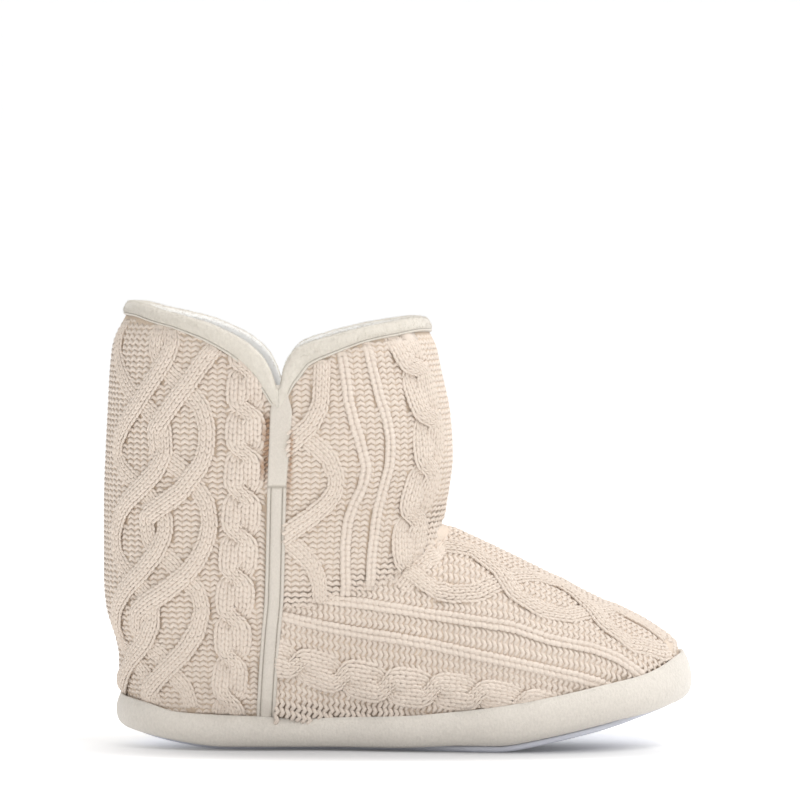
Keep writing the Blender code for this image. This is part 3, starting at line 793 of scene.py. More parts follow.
@dataclass
class YarnBag:
    """Gathers short closed pieces of yarn as arrays and makes one mesh of them."""

    sides: int = 5
    points: list[np.ndarray] = field(default_factory=list)
    quads: list[np.ndarray] = field(default_factory=list)
    tris: list[np.ndarray] = field(default_factory=list)
    tones: list[np.ndarray] = field(default_factory=list)
    count: int = 0

    def add(self, path: np.ndarray, normal: np.ndarray, wide: np.ndarray, high: np.ndarray,
            tone: np.ndarray) -> None:
        """Adds pieces of yarn.

        Args:
            path: Middle of each piece's rings, as pieces by rings by coordinates.
            normal: Direction away from the slipper at each ring.
            wide: Half width of each ring along the cloth.
            high: Half height of each ring away from the cloth.
            tone: Shade of each piece's rings from 0 to 1.
        """
        if not len(path):
            return
        pieces, rings = path.shape[:2]
        run = unit(np.gradient(path, axis=1))
        across = unit(np.cross(normal, run))
        up = np.cross(run, across)
        turn = np.linspace(0.0, 2 * np.pi, self.sides, endpoint=False) + np.pi / 2
        wide = np.broadcast_to(wide, (pieces, rings))[..., None, None]
        high = np.broadcast_to(high, (pieces, rings))[..., None, None]
        ring = (path[:, :, None] + across[:, :, None] * wide * np.cos(turn)[:, None]
                + up[:, :, None] * high * np.sin(turn)[:, None])
        tip = 0.35 * np.concatenate([high[:, 0, 0], high[:, -1, 0]], axis=1)
        ends = np.stack([path[:, 0] - run[:, 0] * tip[:, :1], path[:, -1] + run[:, -1] * tip[:, 1:]], axis=1)
        block = rings * self.sides + 2
        points = np.concatenate([ring.reshape(pieces, -1, 3), ends], axis=1)
        base = self.count + np.arange(pieces)[:, None, None] * block
        step = np.arange(self.sides)
        after = (step + 1) % self.sides
        low = np.arange(rings - 1)[:, None] * self.sides
        upper = low + self.sides
        quads = np.stack([low + step, upper + step, upper + after, low + after], axis=-1)
        last = (rings - 1) * self.sides
        first_cap = np.stack([np.full(self.sides, block - 2), step, after], axis=-1)
        last_cap = np.stack([np.full(self.sides, block - 1), last + after, last + step], axis=-1)
        self.points.append(points.reshape(-1, 3))
        self.quads.append((base + quads.reshape(1, -1, 4)).reshape(-1, 4))
        self.tris.append((base + np.concatenate([first_cap, last_cap])[None]).reshape(-1, 3))
        tone = np.broadcast_to(tone, (pieces, rings))
        shades = np.concatenate([np.repeat(tone, self.sides, axis=1), tone[:, :1], tone[:, -1:]], axis=1)
        self.tones.append(shades.ravel())
        self.count += pieces * block

    def mesh(self, name: str) -> bpy.types.Object:
        """One object of all the yarn gathered."""
        return finish_mesh(name, np.concatenate(self.points), np.concatenate(self.quads),
                           np.concatenate(self.tris), np.concatenate(self.tones))


@dataclass
class Strand:
    """Line of knit wales raised from the purl ground: a rib, or one strand of a cable."""

    path: np.ndarray
    lift: np.ndarray
    half_width: Any = 0.0041
    lines: int = 6

    @staticmethod
    def smooth(stops: np.ndarray, soft: float = 0.0035) -> np.ndarray:
        """Evenly spaced points on a soft curve along stops, 0.25 mm apart.

        Args:
            stops: Places on the cloth, in order.
            soft: Length over which corners are rounded.

        Returns:
            The curve's points.
        """
        run = run_along(stops)
        step = 0.25 * MM
        dense = read_path(np.arange(0.0, run[-1], step), run, stops)
        window = np.hanning(int(2 * soft / step) + 3)
        window /= window.sum()
        pad = len(window) // 2
        first = 2 * dense[0] - dense[1:pad + 1][::-1]
        last = 2 * dense[-1] - dense[-pad - 1:-1][::-1]
        padded = np.concatenate([first, dense, last])
        soft_path = np.stack([np.convolve(column, window, "valid") for column in padded.T], axis=-1)
        return soft_path[:len(dense)]


@dataclass
class Knitter:
    """Knits one side's cloth: strands first, then purl rows wherever no strand covers them."""

    form: SlipperForm
    cloth: Cloth
    side: Side
    by_length: bool = False
    row_pitch: float = 0.0024
    wave: float = 0.0040
    swing: float = 0.00075
    yarn: float = 0.00100
    leg_pitch: float = 0.0025
    leg_height: float = 0.00072
    leg_swell: tuple[float, ...] = (0.55, 0.98, 1.0, 0.65)
    body_pitch: float = 0.0030
    tape_gap: float = 0.0034
    binding_gap: float = 0.0052
    sunk: float = 0.0007
    # How strongly shade() lowers the yarn's tone, as painted shade.
    shaded: float = 2.2
    roll: float = 0.0006
    groove: float = 0.0005
    vamp_dip: float = 0.0007
    # Places of the painted shadow strip left of the tape's middle and of the painted shadow line along the
    # seam right of it.
    shadow_strip_at: float = -0.0058
    seam_shadow_at: float = 0.0052
    seed: int = 7
    bag: YarnBag = field(default_factory=YarnBag)
    strands: list[Strand] = field(default_factory=list)

    def __post_init__(self) -> None:
        """Starts the seeded unevenness of the hand, and tells the shaft's front from its back."""
        self.chance = np.random.default_rng(self.seed)
        self.in_front = self.cloth.points[:, -1, 0].mean() > -0.05

    def allowed(self, across: np.ndarray, along: np.ndarray) -> np.ndarray:
        """True where the cloth shows: above the sole, below the binding, clear of tape and seam.

        Args:
            across: Places across the wales.
            along: Places along the wales.

        Returns:
            One truth value for each place.
        """
        form = self.form
        point, _ = self.cloth.place(across, along)
        x, z = point[..., 0], point[..., 2]
        clear = z > form.joint_height(x) - 0.0008
        clear &= z < self.cloth.ceiling(across, along) - self.binding_gap
        beyond = x - form.tape_middle(z)
        if self.by_length:
            return clear & (beyond > self.tape_gap) & ((z < form.seam_height(x) + 0.0016) | (x > 0.0125))
        if self.in_front:
            return clear & (beyond > self.tape_gap) & (z > form.seam_height(np.minimum(x, 0.0165)) - 0.0004)
        return clear & (beyond < -self.tape_gap)

    def ground_lift(self, point: np.ndarray) -> np.ndarray:
        """Height of the ground over the form: the shaft rolls over the vamp at their seam."""
        gap = self.seam_gap(point)
        if self.by_length:
            return -self.vamp_dip * bell(gap, 0.0034)
        if self.in_front:
            return self.roll * bell(gap - 0.0035, 0.0040) - self.groove * bell(gap, 0.0016)
        return np.zeros_like(gap)

    def seam_gap(self, point: np.ndarray) -> np.ndarray:
        """Distance to the seam between shaft and vamp, seen from the side."""
        return self.form.seam_gap(point[..., 0], point[..., 2])

    def lay(self, across: np.ndarray, along: np.ndarray, height: np.ndarray, wide: np.ndarray,
            high: np.ndarray, tone: np.ndarray) -> None:
        """Lays pieces of yarn given on the cloth, where the middle of each shows.

        Args:
            across: Place of each piece's rings across the wales.
            along: Place of each piece's rings along the wales.
            height: Height of each ring over the cloth.
            wide: Half width of each ring.
            high: Half height of each ring.
            tone: Shade of each ring.
        """
        middle = across.shape[1] // 2
        keep = self.allowed(across[:, middle], along[:, middle])
        height, wide, high, tone = (np.broadcast_to(value, across.shape)[keep]
                                    for value in (height, wide, high, tone))
        across, along = across[keep], along[keep]
        point, normal = self.cloth.place(across, along)
        height = height * self.pressed(point, self.cloth.ceiling(across, along))
        height = height + self.ground_lift(point) - self.sunk
        # Painted shade: the tone falls, turning the yarn a shadowy brown, in the shadow strip and seam line
        # of shade().
        tone = tone - self.shaded * self.shade(point)
        self.bag.add(point + normal * height[..., None], normal, wide, high, tone)

    def pressed(self, point: np.ndarray, ceiling: np.ndarray) -> np.ndarray:
        """Share of the stitches' height that is left where the binding or the sole holds them down."""
        x, z = point[..., 0], point[..., 2]
        free = ramp(z - self.form.joint_height(x), -0.001, 0.005)
        return 0.15 + 0.85 * ramp(ceiling - z, 0.0050, 0.0130) * free

    def shade(self, point: np.ndarray) -> np.ndarray:
        """Painted shade on the knit: a shadow strip left of the tape's top, and the seam's dark shadow line
        right of it.
        """
        x, z = point[..., 0], point[..., 2]
        beyond = x - self.form.tape_middle(z)
        shadow_strip = bell(beyond - self.shadow_strip_at, 0.0017) * ramp(z, 0.112, 0.130) * ramp(0.152 - z, 0.0, 0.006)
        seam = bell(beyond - self.seam_shadow_at, 0.0008) * ramp(z, 0.100, 0.112) * ramp(0.146 - z, 0.0, 0.006)
        return np.maximum(shadow_strip, 0.7 * seam)

    def strand(self, strand: Strand) -> None:
        """Knits a strand: each wale is two lines of short slanted legs that overlap."""
        self.strands.append(strand)
        path, lines = strand.path, strand.lines
        run, side = run_along(path), beside(path)
        halves = np.broadcast_to(strand.half_width, run.shape)
        self._body(strand, run, halves)
        t = np.linspace(-1.0, 1.0, 4)
        swell = np.array(self.leg_swell)
        for number, share in enumerate((np.arange(lines) - (lines - 1) / 2) * 2 / lines):
            lean = 1.0 if number % 2 else -1.0
            starts = np.arange(0.0, run[-1], self.leg_pitch)
            starts = starts + self.chance.normal(0.0, 0.00012, len(starts))
            at = np.clip(starts[:, None] + t * self.leg_pitch * 0.66, 0.0, run[-1])
            half = np.interp(at, run, halves)
            shift = share * half + lean * t * 0.00042 + self.chance.normal(0.0, 0.00006, (len(starts), 1))
            place = read_path(at, run, path) + read_path(at, run, side) * shift[..., None]
            arch = 0.00022 * (1 - t**2) + 0.00016 * t
            round_top = 0.30 + 0.70 * math.sqrt(1 - 0.92 * share**2)
            height = np.interp(at, run, strand.lift) * round_top + arch
            # Besides random spread, the tone rises with t as the leg rises: painted shade at its low end.
            tone = 0.62 + self.chance.normal(0.0, 0.10, (len(starts), 1)) + 0.12 * (t - 0.2)
            self.lay(place[..., 0], place[..., 1], height, half / lines * 1.22 * swell,
                     swell * self.leg_height, tone)

    def _body(self, strand: Strand, run: np.ndarray, halves: np.ndarray) -> None:
        """Lays the body under a strand's legs, in short overlapping lengths, so that no gap shows.

        Args:
            strand: The strand.
            run: Distance along it at each of its points.
            halves: Half width at each of its points.
        """
        starts = np.arange(0.0, run[-1], self.body_pitch)
        at = np.clip(starts[:, None] + np.linspace(-1.0, 1.0, 4) * 0.0023, 0.0, run[-1])
        place, lift = read_path(at, run, strand.path), np.interp(at, run, strand.lift)
        # Tone 0.35 makes the body darker than the legs: painted shade in the gaps between them.
        self.lay(place[..., 0], place[..., 1], lift * 0.5 - 0.0003, np.interp(at, run, halves) * 0.95,
                 lift * 0.46 + 0.0004, np.array(0.35))

    def covered(self, across: np.ndarray, along: np.ndarray) -> np.ndarray:
        """True where a strand covers a place of the cloth, by every fifth point of the strand.

        Args:
            across: Places across the wales.
            along: Places along the wales.

        Returns:
            One truth value for each place.
        """
        reach, overlap = 0.006, 0.0007
        hidden = np.zeros(across.shape, bool)
        for strand in self.strands:
            path = strand.path[::5]
            halves = np.broadcast_to(strand.half_width, len(strand.path))[::5]
            near = (across >= path[:, 0].min() - reach) & (across <= path[:, 0].max() + reach)
            index = np.nonzero(near & ~hidden)[0]
            if not len(index):
                continue
            gap = np.hypot(across[index, None] - path[:, 0], along[index, None] - path[:, 1]) - halves
            hidden[index] |= gap.min(axis=1) < -overlap
        return hidden

    def purl(self) -> None:
        """Knits the purl ground: wavy rows of arched loops."""
        cloth = self.cloth
        rows = np.arange(cloth.along[0], cloth.along[-1], self.row_pitch)
        t = np.linspace(-1.0, 1.0, 5)
        crest = np.cos(math.pi * t)
        near_seam = 0.010 if self.by_length else 0.003
        for level in rows:
            middles = np.arange(int(cloth.across[-1] / self.wave) + 1) * self.wave
            if self.side is Side.INNER:
                middles = middles[1:] if self.by_length else middles[:-1]
            middles = middles[middles <= cloth.across[-1] + 1e-6]
            levels = np.full(len(middles), level)
            point, _ = cloth.place(middles, levels)
            middles = middles[~self.covered(middles, levels) | (self.seam_gap(point) < near_seam)]
            count = len(middles)
            if not count:
                continue
            wobble = self.chance.normal(0.0, 1.0, (count, 3))
            across = middles[:, None] + t * self.wave * 0.54 + wobble[:, :1] * 0.00008
            swing = self.swing * (1 + 0.15 * wobble[:, 1:2])
            along = level + swing * crest + 0.00006 * wobble[:, 2:3]
            height = 0.00015 + 0.00045 * (crest + 1) / 2
            wide = self.yarn * np.array([0.70, 1.0, 1.0, 1.0, 0.70])
            smooth = 0.0 if self.by_length else ramp(middles - cloth.across[-1], -0.032, -0.016)[:, None]
            high = wide * 0.70 * (1 - 0.45 * smooth)
            # Besides random spread, the tone follows the crest: painted shade where each arch dips into the
            # ground.
            tone = 0.50 + self.chance.normal(0.0, 0.10, (count, 1)) + 0.10 * crest
            self.lay(across, along, height, wide, high, tone)

    def rope(self, middle: np.ndarray, pitch: float, first: float, over: float = 1.0,
             reach: float = 0.0034, tall: float = 0.0016, cross: float = 0.0105, wide: float = 0.0051,
             lines: int = 6) -> None:
        """Knits a rope cable of two strands that keep crossing the same way.

        Args:
            middle: Stops of the rope's middle line on the cloth.
            pitch: Distance between crossings.
            first: Distance of the first crossing along the middle line.
            over: 1 where the upper strand goes down towards higher across, -1 the other way.
            reach: Distance of each strand's middle from the rope's.
            tall: Height of the strands.
            cross: Length of a crossing.
            wide: Half width of a strand.
            lines: Lines of stitches in a strand.
        """
        line = Strand.smooth(middle, 0.006)
        run, side = run_along(line), beside(line)
        turn = math.pi * ((run - first) / pitch + 0.5)
        hold, lap, pinch = 1.2, 0.0011, 0.0021
        for sign in (1.0, -1.0):
            swing = np.clip(np.cos(turn) * pitch / cross / hold, -1.0, 1.0)
            offset = sign * np.sin(swing * math.pi / 2) * reach
            moving = -sign * np.sin(turn)
            self.strand(Strand(line + side * offset[:, None], tall + lap * moving * over,
                               wide - pinch * np.abs(moving) ** 5, lines))


@dataclass
class KnittedUpper:
    """The upper's knitting: cables, ribs and purl ground on back, shin and vamp of both sides."""

    form: SlipperForm
    diamond_back: tuple[tuple[Lane, ...], ...] = (
        lane_line(
            (-83.2, 178.7), (-88.9, 171.2), (-94.7, 162.8), (-100.5, 155.3), (-104.1, 150.0),
            (-110.0, 141.5), (-109.2, 133.1), (-104.2, 129.2), (-97.5, 124.5), (-90.9, 116.2),
            (-87.0, 110.1), (-85.7, 101.2), (-87.1, 93.2), (-91.1, 84.8), (-96.5, 78.0), (-106.0, 70.2),
            (-113.7, 65.0), (-118.4, 60.2), (-118.6, 51.1), (-113.6, 45.9), (-106.8, 40.9),
            (-102.7, 33.9), (-96.9, 27.9), (-94.3, 19.0),
        ),
        lane_line(
            (-107.4, 190.0), (-109.1, 182.3), (-109.1, 175.8), (-105.9, 171.0), (-102.7, 167.1),
            (-97.4, 162.8), (-93.4, 158.0), (-88.9, 152.0), (-86.7, 143.7), (-86.8, 134.9),
            (-89.1, 127.3), (-94.9, 119.7), (-98.1, 115.2), (-105.7, 109.7), (-114.0, 102.8),
            (-112.6, 92.6), (-107.7, 87.5), (-102.3, 83.2), (-96.5, 76.2), (-91.2, 71.5), (-89.0, 62.6),
            (-91.3, 53.6), (-96.8, 44.5), (-105.4, 35.2), (-113.3, 25.7), (-116.1, 16.5),
        ),
        lane_line(
            (-123.6, 189.5), (-126.6, 182.0), (-127.4, 174.5), (-125.4, 166.9), (-121.5, 159.1),
            (-116.4, 154.0), (-111.8, 149.8), (-105.9, 143.8), (-105.1, 131.9), (-108.8, 124.3),
            (-115.7, 116.5), (-121.7, 110.4), (-125.1, 105.3), (-128.0, 94.8), (-127.6, 86.4),
            (-124.7, 80.4), (-119.6, 74.5), (-114.6, 69.4), (-111.0, 64.2), (-111.1, 56.6),
            (-114.4, 48.2), (-120.7, 39.4), (-124.6, 31.2), (-127.3, 20.8),
        ),
        lane_line(
            (-102.8, 190.0), (-101.9, 179.4), (-104.1, 173.7), (-107.7, 167.9), (-117.8, 152.2),
            (-122.0, 146.3), (-126.3, 136.8), (-127.3, 130.0), (-124.5, 123.6), (-114.3, 114.7),
            (-109.4, 108.3), (-105.3, 103.1), (-105.4, 96.0), (-109.0, 87.9), (-115.4, 79.6),
            (-122.9, 71.1), (-127.3, 62.6), (-128.0, 53.7), (-125.4, 44.7), (-118.8, 37.8),
            (-113.2, 30.2), (-110.5, 19.2),
        ),
    )
    rope_back: tuple[Lane, ...] = lane_line(
        (-68.2, 186.2), (-69.1, 179.6), (-69.6, 151.2), (-70.1, 132.3), (-71.1, 114.2), (-72.5, 96.0),
        (-73.9, 78.3), (-75.3, 60.5), (-76.3, 42.2), (-77.7, 24.3), (-78.2, 15.8),
    )
    diamond_front: tuple[tuple[Lane, ...], ...] = (
        lane_line(
            (-36.3, 173.0), (-36.8, 162.1), (-37.2, 153.4), (-41.6, 144.7), (-46.4, 140.3),
            (-54.0, 134.0),
        ),
        lane_line(
            (-54.0, 147.0), (-46.4, 141.6), (-40.3, 136.7), (-33.7, 130.5), (-30.3, 122.1),
            (-30.7, 115.9), (-34.7, 110.1), (-41.3, 104.4), (-48.3, 99.6), (-54.5, 95.0),
        ),
        lane_line(
            (-54.5, 98.5), (-53.2, 94.7), (-47.0, 89.8), (-40.9, 83.2), (-37.9, 76.0), (-37.5, 65.0),
        ),
    )
    ribs_front: tuple[tuple[Lane, ...], ...] = (
        lane_line(
            (-28.3, 178.5), (-26.3, 166.4), (-25.0, 155.5), (-22.8, 146.7), (-19.3, 135.2),
            (-17.1, 125.4), (-18.9, 117.0), (-22.4, 110.4), (-25.1, 102.5), (-26.4, 91.4),
            (-26.4, 80.3), (-26.5, 64.9),
        ),
        lane_line(
            (-18.4, 183.6), (-14.9, 170.6), (-11.0, 155.3), (-8.3, 147.3), (-6.6, 137.6), (-7.0, 126.6),
            (-9.7, 116.8), (-12.3, 106.6), (-13.7, 95.6), (-15.0, 84.5), (-15.9, 69.2),
        ),
    )
    rope_front: tuple[Lane, ...] = lane_line(
        (-4.2, 187.3), (4.4, 168.0), (8.4, 153.8), (10.6, 141.4), (10.6, 130.3), (8.4, 119.3),
        (4.4, 108.2), (2.2, 97.2), (0.9, 80.2),
    )
    diamonds_vamp: tuple[tuple[Lane, ...], ...] = (
        lane_line(
            (0.0, 80.0), (4.0, 77.3), (9.5, 72.9), (19.0, 68.9), (31.8, 69.4), (42.1, 74.0),
            (49.7, 76.5), (57.0, 76.0), (67.8, 72.2), (75.8, 67.2), (83.4, 60.6), (88.5, 54.4),
            (99.3, 46.2), (112.0, 43.0), (118.0, 42.3),
        ),
        lane_line(
            (-2.0, 72.0), (4.0, 79.3), (9.9, 84.4), (16.4, 87.8), (29.4, 87.2), (42.2, 78.1),
            (48.2, 69.0), (59.7, 61.9), (72.6, 59.3), (81.8, 60.4), (91.8, 61.0), (105.0, 54.4),
            (116.2, 46.5),
        ),
    )

    def back(self, side: Side, cutter: ClothCutter) -> bpy.types.Object:
        """Half of the shaft's back: diamond cables behind, a rope cable beside the tape."""
        cloth = cutter.back(side)
        knitter = Knitter(self.form, cloth, side, seed=11)
        knitter.rope(cloth.chart(self.rope_back), 0.0184, 0.0166, over=1.0)
        for lanes in self.diamond_back:
            self._crossing(knitter, cloth.chart(lanes))
        knitter.purl()
        return knitter.bag.mesh(f"knit_back_{side.name.lower()}")

    def front(self, side: Side, cutter: ClothCutter) -> bpy.types.Object:
        """Half of the shaft's front: half diamonds at the tape, two ribs and a rope cable."""
        cloth = cutter.front(side)
        knitter = Knitter(self.form, cloth, side, seed=23)
        for lanes in self.ribs_front:
            self._rib(knitter, cloth.chart(lanes))
        for lanes in self.diamond_front:
            self._crossing(knitter, cloth.chart(lanes), rising=-1.0)
        knitter.rope(cloth.chart(self.rope_front), 0.0222, 0.0190, over=-1.0,
                     reach=0.0041, wide=0.0061, lines=8)
        knitter.purl()
        return knitter.bag.mesh(f"knit_front_{side.name.lower()}")

    def vamp(self, side: Side, cutter: ClothCutter) -> bpy.types.Object:
        """Half of the vamp: diamonds on top, two ribs and a rope cable along the sole."""
        cloth = cutter.vamp(side)
        knitter = Knitter(self.form, cloth, side, by_length=True, seed=37)
        for at in (cutter.rib_high_at, cutter.rib_low_at):
            self._rib(knitter, np.array([(at, -0.063), (at, 0.122)]))
        middle = np.array([(cutter.rope_at, -0.063), (cutter.rope_at, 0.075)])
        knitter.rope(middle, 0.0200, 0.0150, over=-1.0)
        for lanes in self.diamonds_vamp:
            self._crossing(knitter, cloth.chart(lanes, by_length=True), rising=-1.0, tall=0.78)
        knitter.purl()
        return knitter.bag.mesh(f"knit_vamp_{side.name.lower()}")

    @staticmethod
    def _rib(knitter: Knitter, stops: np.ndarray) -> None:
        """One raised knit wale."""
        lift, half_width, lines = 0.0010, 0.0023, 2
        path = Strand.smooth(stops)
        knitter.strand(Strand(path, np.full(len(path), lift), half_width, lines))

    @staticmethod
    def _crossing(knitter: Knitter, stops: np.ndarray, rising: float = 1.0, tall: float = 1.0) -> None:
        """Strand of a diamond cable: it lies over the others where it leans one way, else under.

        Args:
            knitter: The knitter of the cloth.
            stops: Places on the cloth that the strand passes.
            rising: 1 where it lies over as it leans outwards, -1 where it lies over as it leans back.
            tall: Share of the usual height.
        """
        mean_lift, lap, half_width, spread = 0.0017, 0.0008, 0.0036, 0.0010
        path = Strand.smooth(stops)
        slope = unit(np.gradient(path, axis=0))
        lean = rising * slope[:, 0] * -np.sign(slope[:, 1])
        lift = tall * (mean_lift + lap * np.tanh(2.2 * lean))
        knitter.strand(Strand(path, lift, half_width + spread * lean**2))

    def build(self) -> list[bpy.types.Object]:
        """All six pieces of knitting."""
        cutter = ClothCutter(self.form)
        pieces = []
        for side in Side:
            pieces += [self.back(side, cutter), self.front(side, cutter), self.vamp(side, cutter)]
        return pieces


def collar_run(half: float, count: int) -> np.ndarray:
    """Angles from one notch to the other, closest together near both, about 0 or 180 degrees.

    Args:
        half: 0 for the front run, 180 for the back run.
        count: Number of columns.

    Returns:
        The angles in degrees.
    """
    share = np.linspace(-1.0, 1.0, count)
    eased = np.sign(share) * (1 - (1 - np.abs(share)) ** 1.5 * 0.999)
    eased = np.where(np.abs(share) < 1e-9, 0.0, eased * 0.45 + share * 0.55)
    return half + 90.0 * eased


@dataclass
class CollarBinding:
    """Plush binding folded over the collar's edge from notch to notch, stitched at its lower edge."""

    form: SlipperForm
    name: str
    node: str
    middle: float
    leg: float = 0.0054
    notch_leg: float = 0.0088
    thickness: float = 0.0016
    puff: float = 0.0007
    columns: int = 260
    face: tuple[tuple[float, float], ...] = (
        (0.24, 1.35), (0.5, 1.30), (0.68, 1.12), (0.78, 0.92), (0.83, 0.50), (0.88, 0.85), (0.95, 0.78),
        (1.0, 0.30),
    )

    def profile(self) -> list[tuple[float, float]]:
        """Section as pairs of distance outwards and share of the leg downwards."""
        form = self.form
        inner = form.wall + 0.0002
        half = inner / 2 + self.thickness
        section = [(0.0, 1.0), (0.0, 0.0), (-inner, 0.0), (-inner, 1.0)]
        for share, swell in ((1.0, 0.55), (0.93, 0.85), (0.8, 1.0), (0.55, 1.25), (0.28, 1.35)):
            section.append((-inner - self.thickness * swell, share))
        for step in range(9):
            turn = math.pi * (1 - step / 8)
            across = -form.wall / 2 + (half + self.puff * 0.35) * math.cos(turn)
            section.append((across, -0.30 * math.sin(turn) - 0.02))
        for share, swell in self.face:
            section.append((self.thickness * swell, share))
        return section

    def build(self) -> list[bpy.types.Object]:
        """Binding as one closed sweep, its stitches and its fuzz."""
        form = self.form
        angles = collar_run(self.middle, self.columns)
        height = form.collar_height(angles)
        edge, normal = form.point(angles, height), form.outward(angles, height)
        run = np.gradient(edge, axis=0)
        down = np.cross(normal, run)
        down *= -np.sign(down[:, 2:3])
        from_notch = np.abs(np.abs(angles - self.middle) - 90.0)
        near = np.clip(1 - from_notch / 9.0, 0.0, 1.0)[:, None]
        down = unit(unit(down) * (1 - near) + np.array([0.0, 0.0, -1.0]) * near)
        leg = self.leg + (self.notch_leg - self.leg) * np.clip(1 - from_notch / 40.0, 0.0, 1.0)
        turn, lift = 0.5, 0.0005
        round_it, up_it = form.slopes(angles, height, turn, lift)
        round_it, up_it = round_it / (2 * turn), up_it / (2 * lift)
        pace = np.stack([np.linalg.lstsq(np.stack([r, u], axis=-1), d, rcond=None)[0]
                         for r, u, d in zip(round_it, up_it, down)])
        rings = []
        for out, share in self.profile():
            if share > 0:
                angle = angles + pace[:, 0] * (share * leg)
                level = height + pace[:, 1] * (share * leg)
                rings.append(form.point(angle, level) + form.outward(angle, level) * out)
            else:
                rings.append(edge + down * (share * self.leg) + normal * out)
        sections = np.stack(rings, axis=1)
        tones = np.zeros(sections.shape[:2])
        # Painted shade in the stitching groove and along the lower edge, where the binding meets the knit.
        tones[:, -4] = 0.30
        tones[:, -1] = 0.5
        tones[:, 2:13] = np.array([-1.0] * 9 + [-0.8, -0.4])
        piece = loft(self.name, sections, capped=True, tones=tones)
        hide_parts(self.node)
        bag = YarnBag()
        stitched(bag, sections[:, -4], normal)
        threads = bag.mesh(f"{self.name}_stitches")
        top = sections[:, 9:-4]
        middle = sections[:, 4:].mean(axis=1, keepdims=True) + down[:, None] * 0.002
        fibres = fuzz(f"{self.name}_fuzz", top, unit(top - middle), 5500, 0.0009, 5)
        return [piece, threads, fibres]


@dataclass
class SideTape:
    """Velour tape sewn over a side seam, with two rows of stitching and a short folded bar."""

    form: SlipperForm
    side: Side
    name: str
    node: str
    width: float = 0.0084
    thickness: float = 0.0013
    rows: int = 280
    bar: float = 0.1176

    def under(self, across: Any, heights: np.ndarray) -> tuple[np.ndarray, np.ndarray]:
        """Places on the upper and normals under a line of the tape.

        Args:
            across: Distance of the line from the tape's middle.
            heights: Heights of its points.

        Returns:
            The places and the unit normals.
        """
        form = self.form
        x = form.tape_middle(heights) + across
        low = np.full(heights.shape, self.side.value - 45.0)
        high = np.full(heights.shape, self.side.value + 45.0)
        for _ in range(36):
            angle = (low + high) / 2
            too_far = form.point(angle, heights)[..., 0] > x
            up = too_far if self.side is Side.INNER else ~too_far
            low, high = np.where(up, angle, low), np.where(up, high, angle)
        return form.point(angle, heights), form.outward(angle, heights)

    def build(self) -> list[bpy.types.Object]:
        """Tape as one closed sweep from the collar's notch down to the sole, and its stitches."""
        form = self.form
        foot = form.tape_line[0].value * form.half_length
        heights = np.linspace(form.collar_height(self.side.value) + 0.0030,
                              float(form.joint_height(foot)) + 0.0006, self.rows)
        half = self.width / 2 + 0.0006 * ramp(heights, self.bar, 0.148) - 0.0020 * ramp(heights, 0.150, 0.160)
        ribbon = ramp(self.bar - heights, -0.0001, 0.0008)
        fold = bell(heights - self.bar, 0.0006)
        # Tones darken the stitch rows, and the tape's edges as painted shade where it meets the knit.
        stitch_tone = 0.7
        left = [(-1.0, 0.0, 0.0), (-1.0, 0.5, 0.3), (-0.90, 0.95, 0.0), (-0.70, 1.0, 0.0),
                (-0.60, 0.40, stitch_tone), (-0.50, 1.0, 0.0), (-0.25, 1.15, 0.0)]
        right = [(-across, lift, tone) for across, lift, tone in reversed(left)]
        rings, tones, seams = [], [], YarnBag()
        for across, lift, tone in [*left, (0.0, 1.2, 0.0), *right, (0.0, -0.1, 0.0)]:
            sewn = tone == stitch_tone
            level = lift * ribbon + min(lift, 1.0) * 0.9 * (1 - ribbon) - 0.45 * fold * (lift > 0.4)
            if sewn:
                level = level + 0.5 * (1 - ribbon)
            point, normal = self.under(across * half, heights)
            rings.append(point + normal * (level * self.thickness + 0.0002)[:, None])
            # The fold of the bar darkens as painted shade.
            tones.append(np.maximum(tone * (ribbon if sewn else 1.0), 0.6 * fold))
            if sewn:
                low = ribbon > 0.5
                stitched(seams, rings[-1][low], normal[low])
        piece = loft(self.name, np.stack(rings, axis=1), capped=True, tones=np.stack(tones, axis=1))
        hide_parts(self.node)
        return [piece, seams.mesh(f"{self.name}_stitches")]


def sole_ring(form: SlipperForm, angles: np.ndarray, inset: Any, heights: Any) -> np.ndarray:
    """Ring of points on the sole's outline.

    Args:
        form: The slipper's form.
        angles: Angles round the outline.
        inset: Distance moved inwards.
        heights: Height of each point, or a function of the points' x that gives it.

    Returns:
        The points.
    """
    x, y = form.outline(angles, inset)
    return np.stack([x, y, heights(x) if callable(heights) else heights], axis=-1)


def sagging(form: SlipperForm, x: np.ndarray) -> np.ndarray:
    """Height of the sole's soft underside, which sags a little under the toe."""
    return form.underside(x) - 0.0016 * ramp(x, 0.045, 0.100)


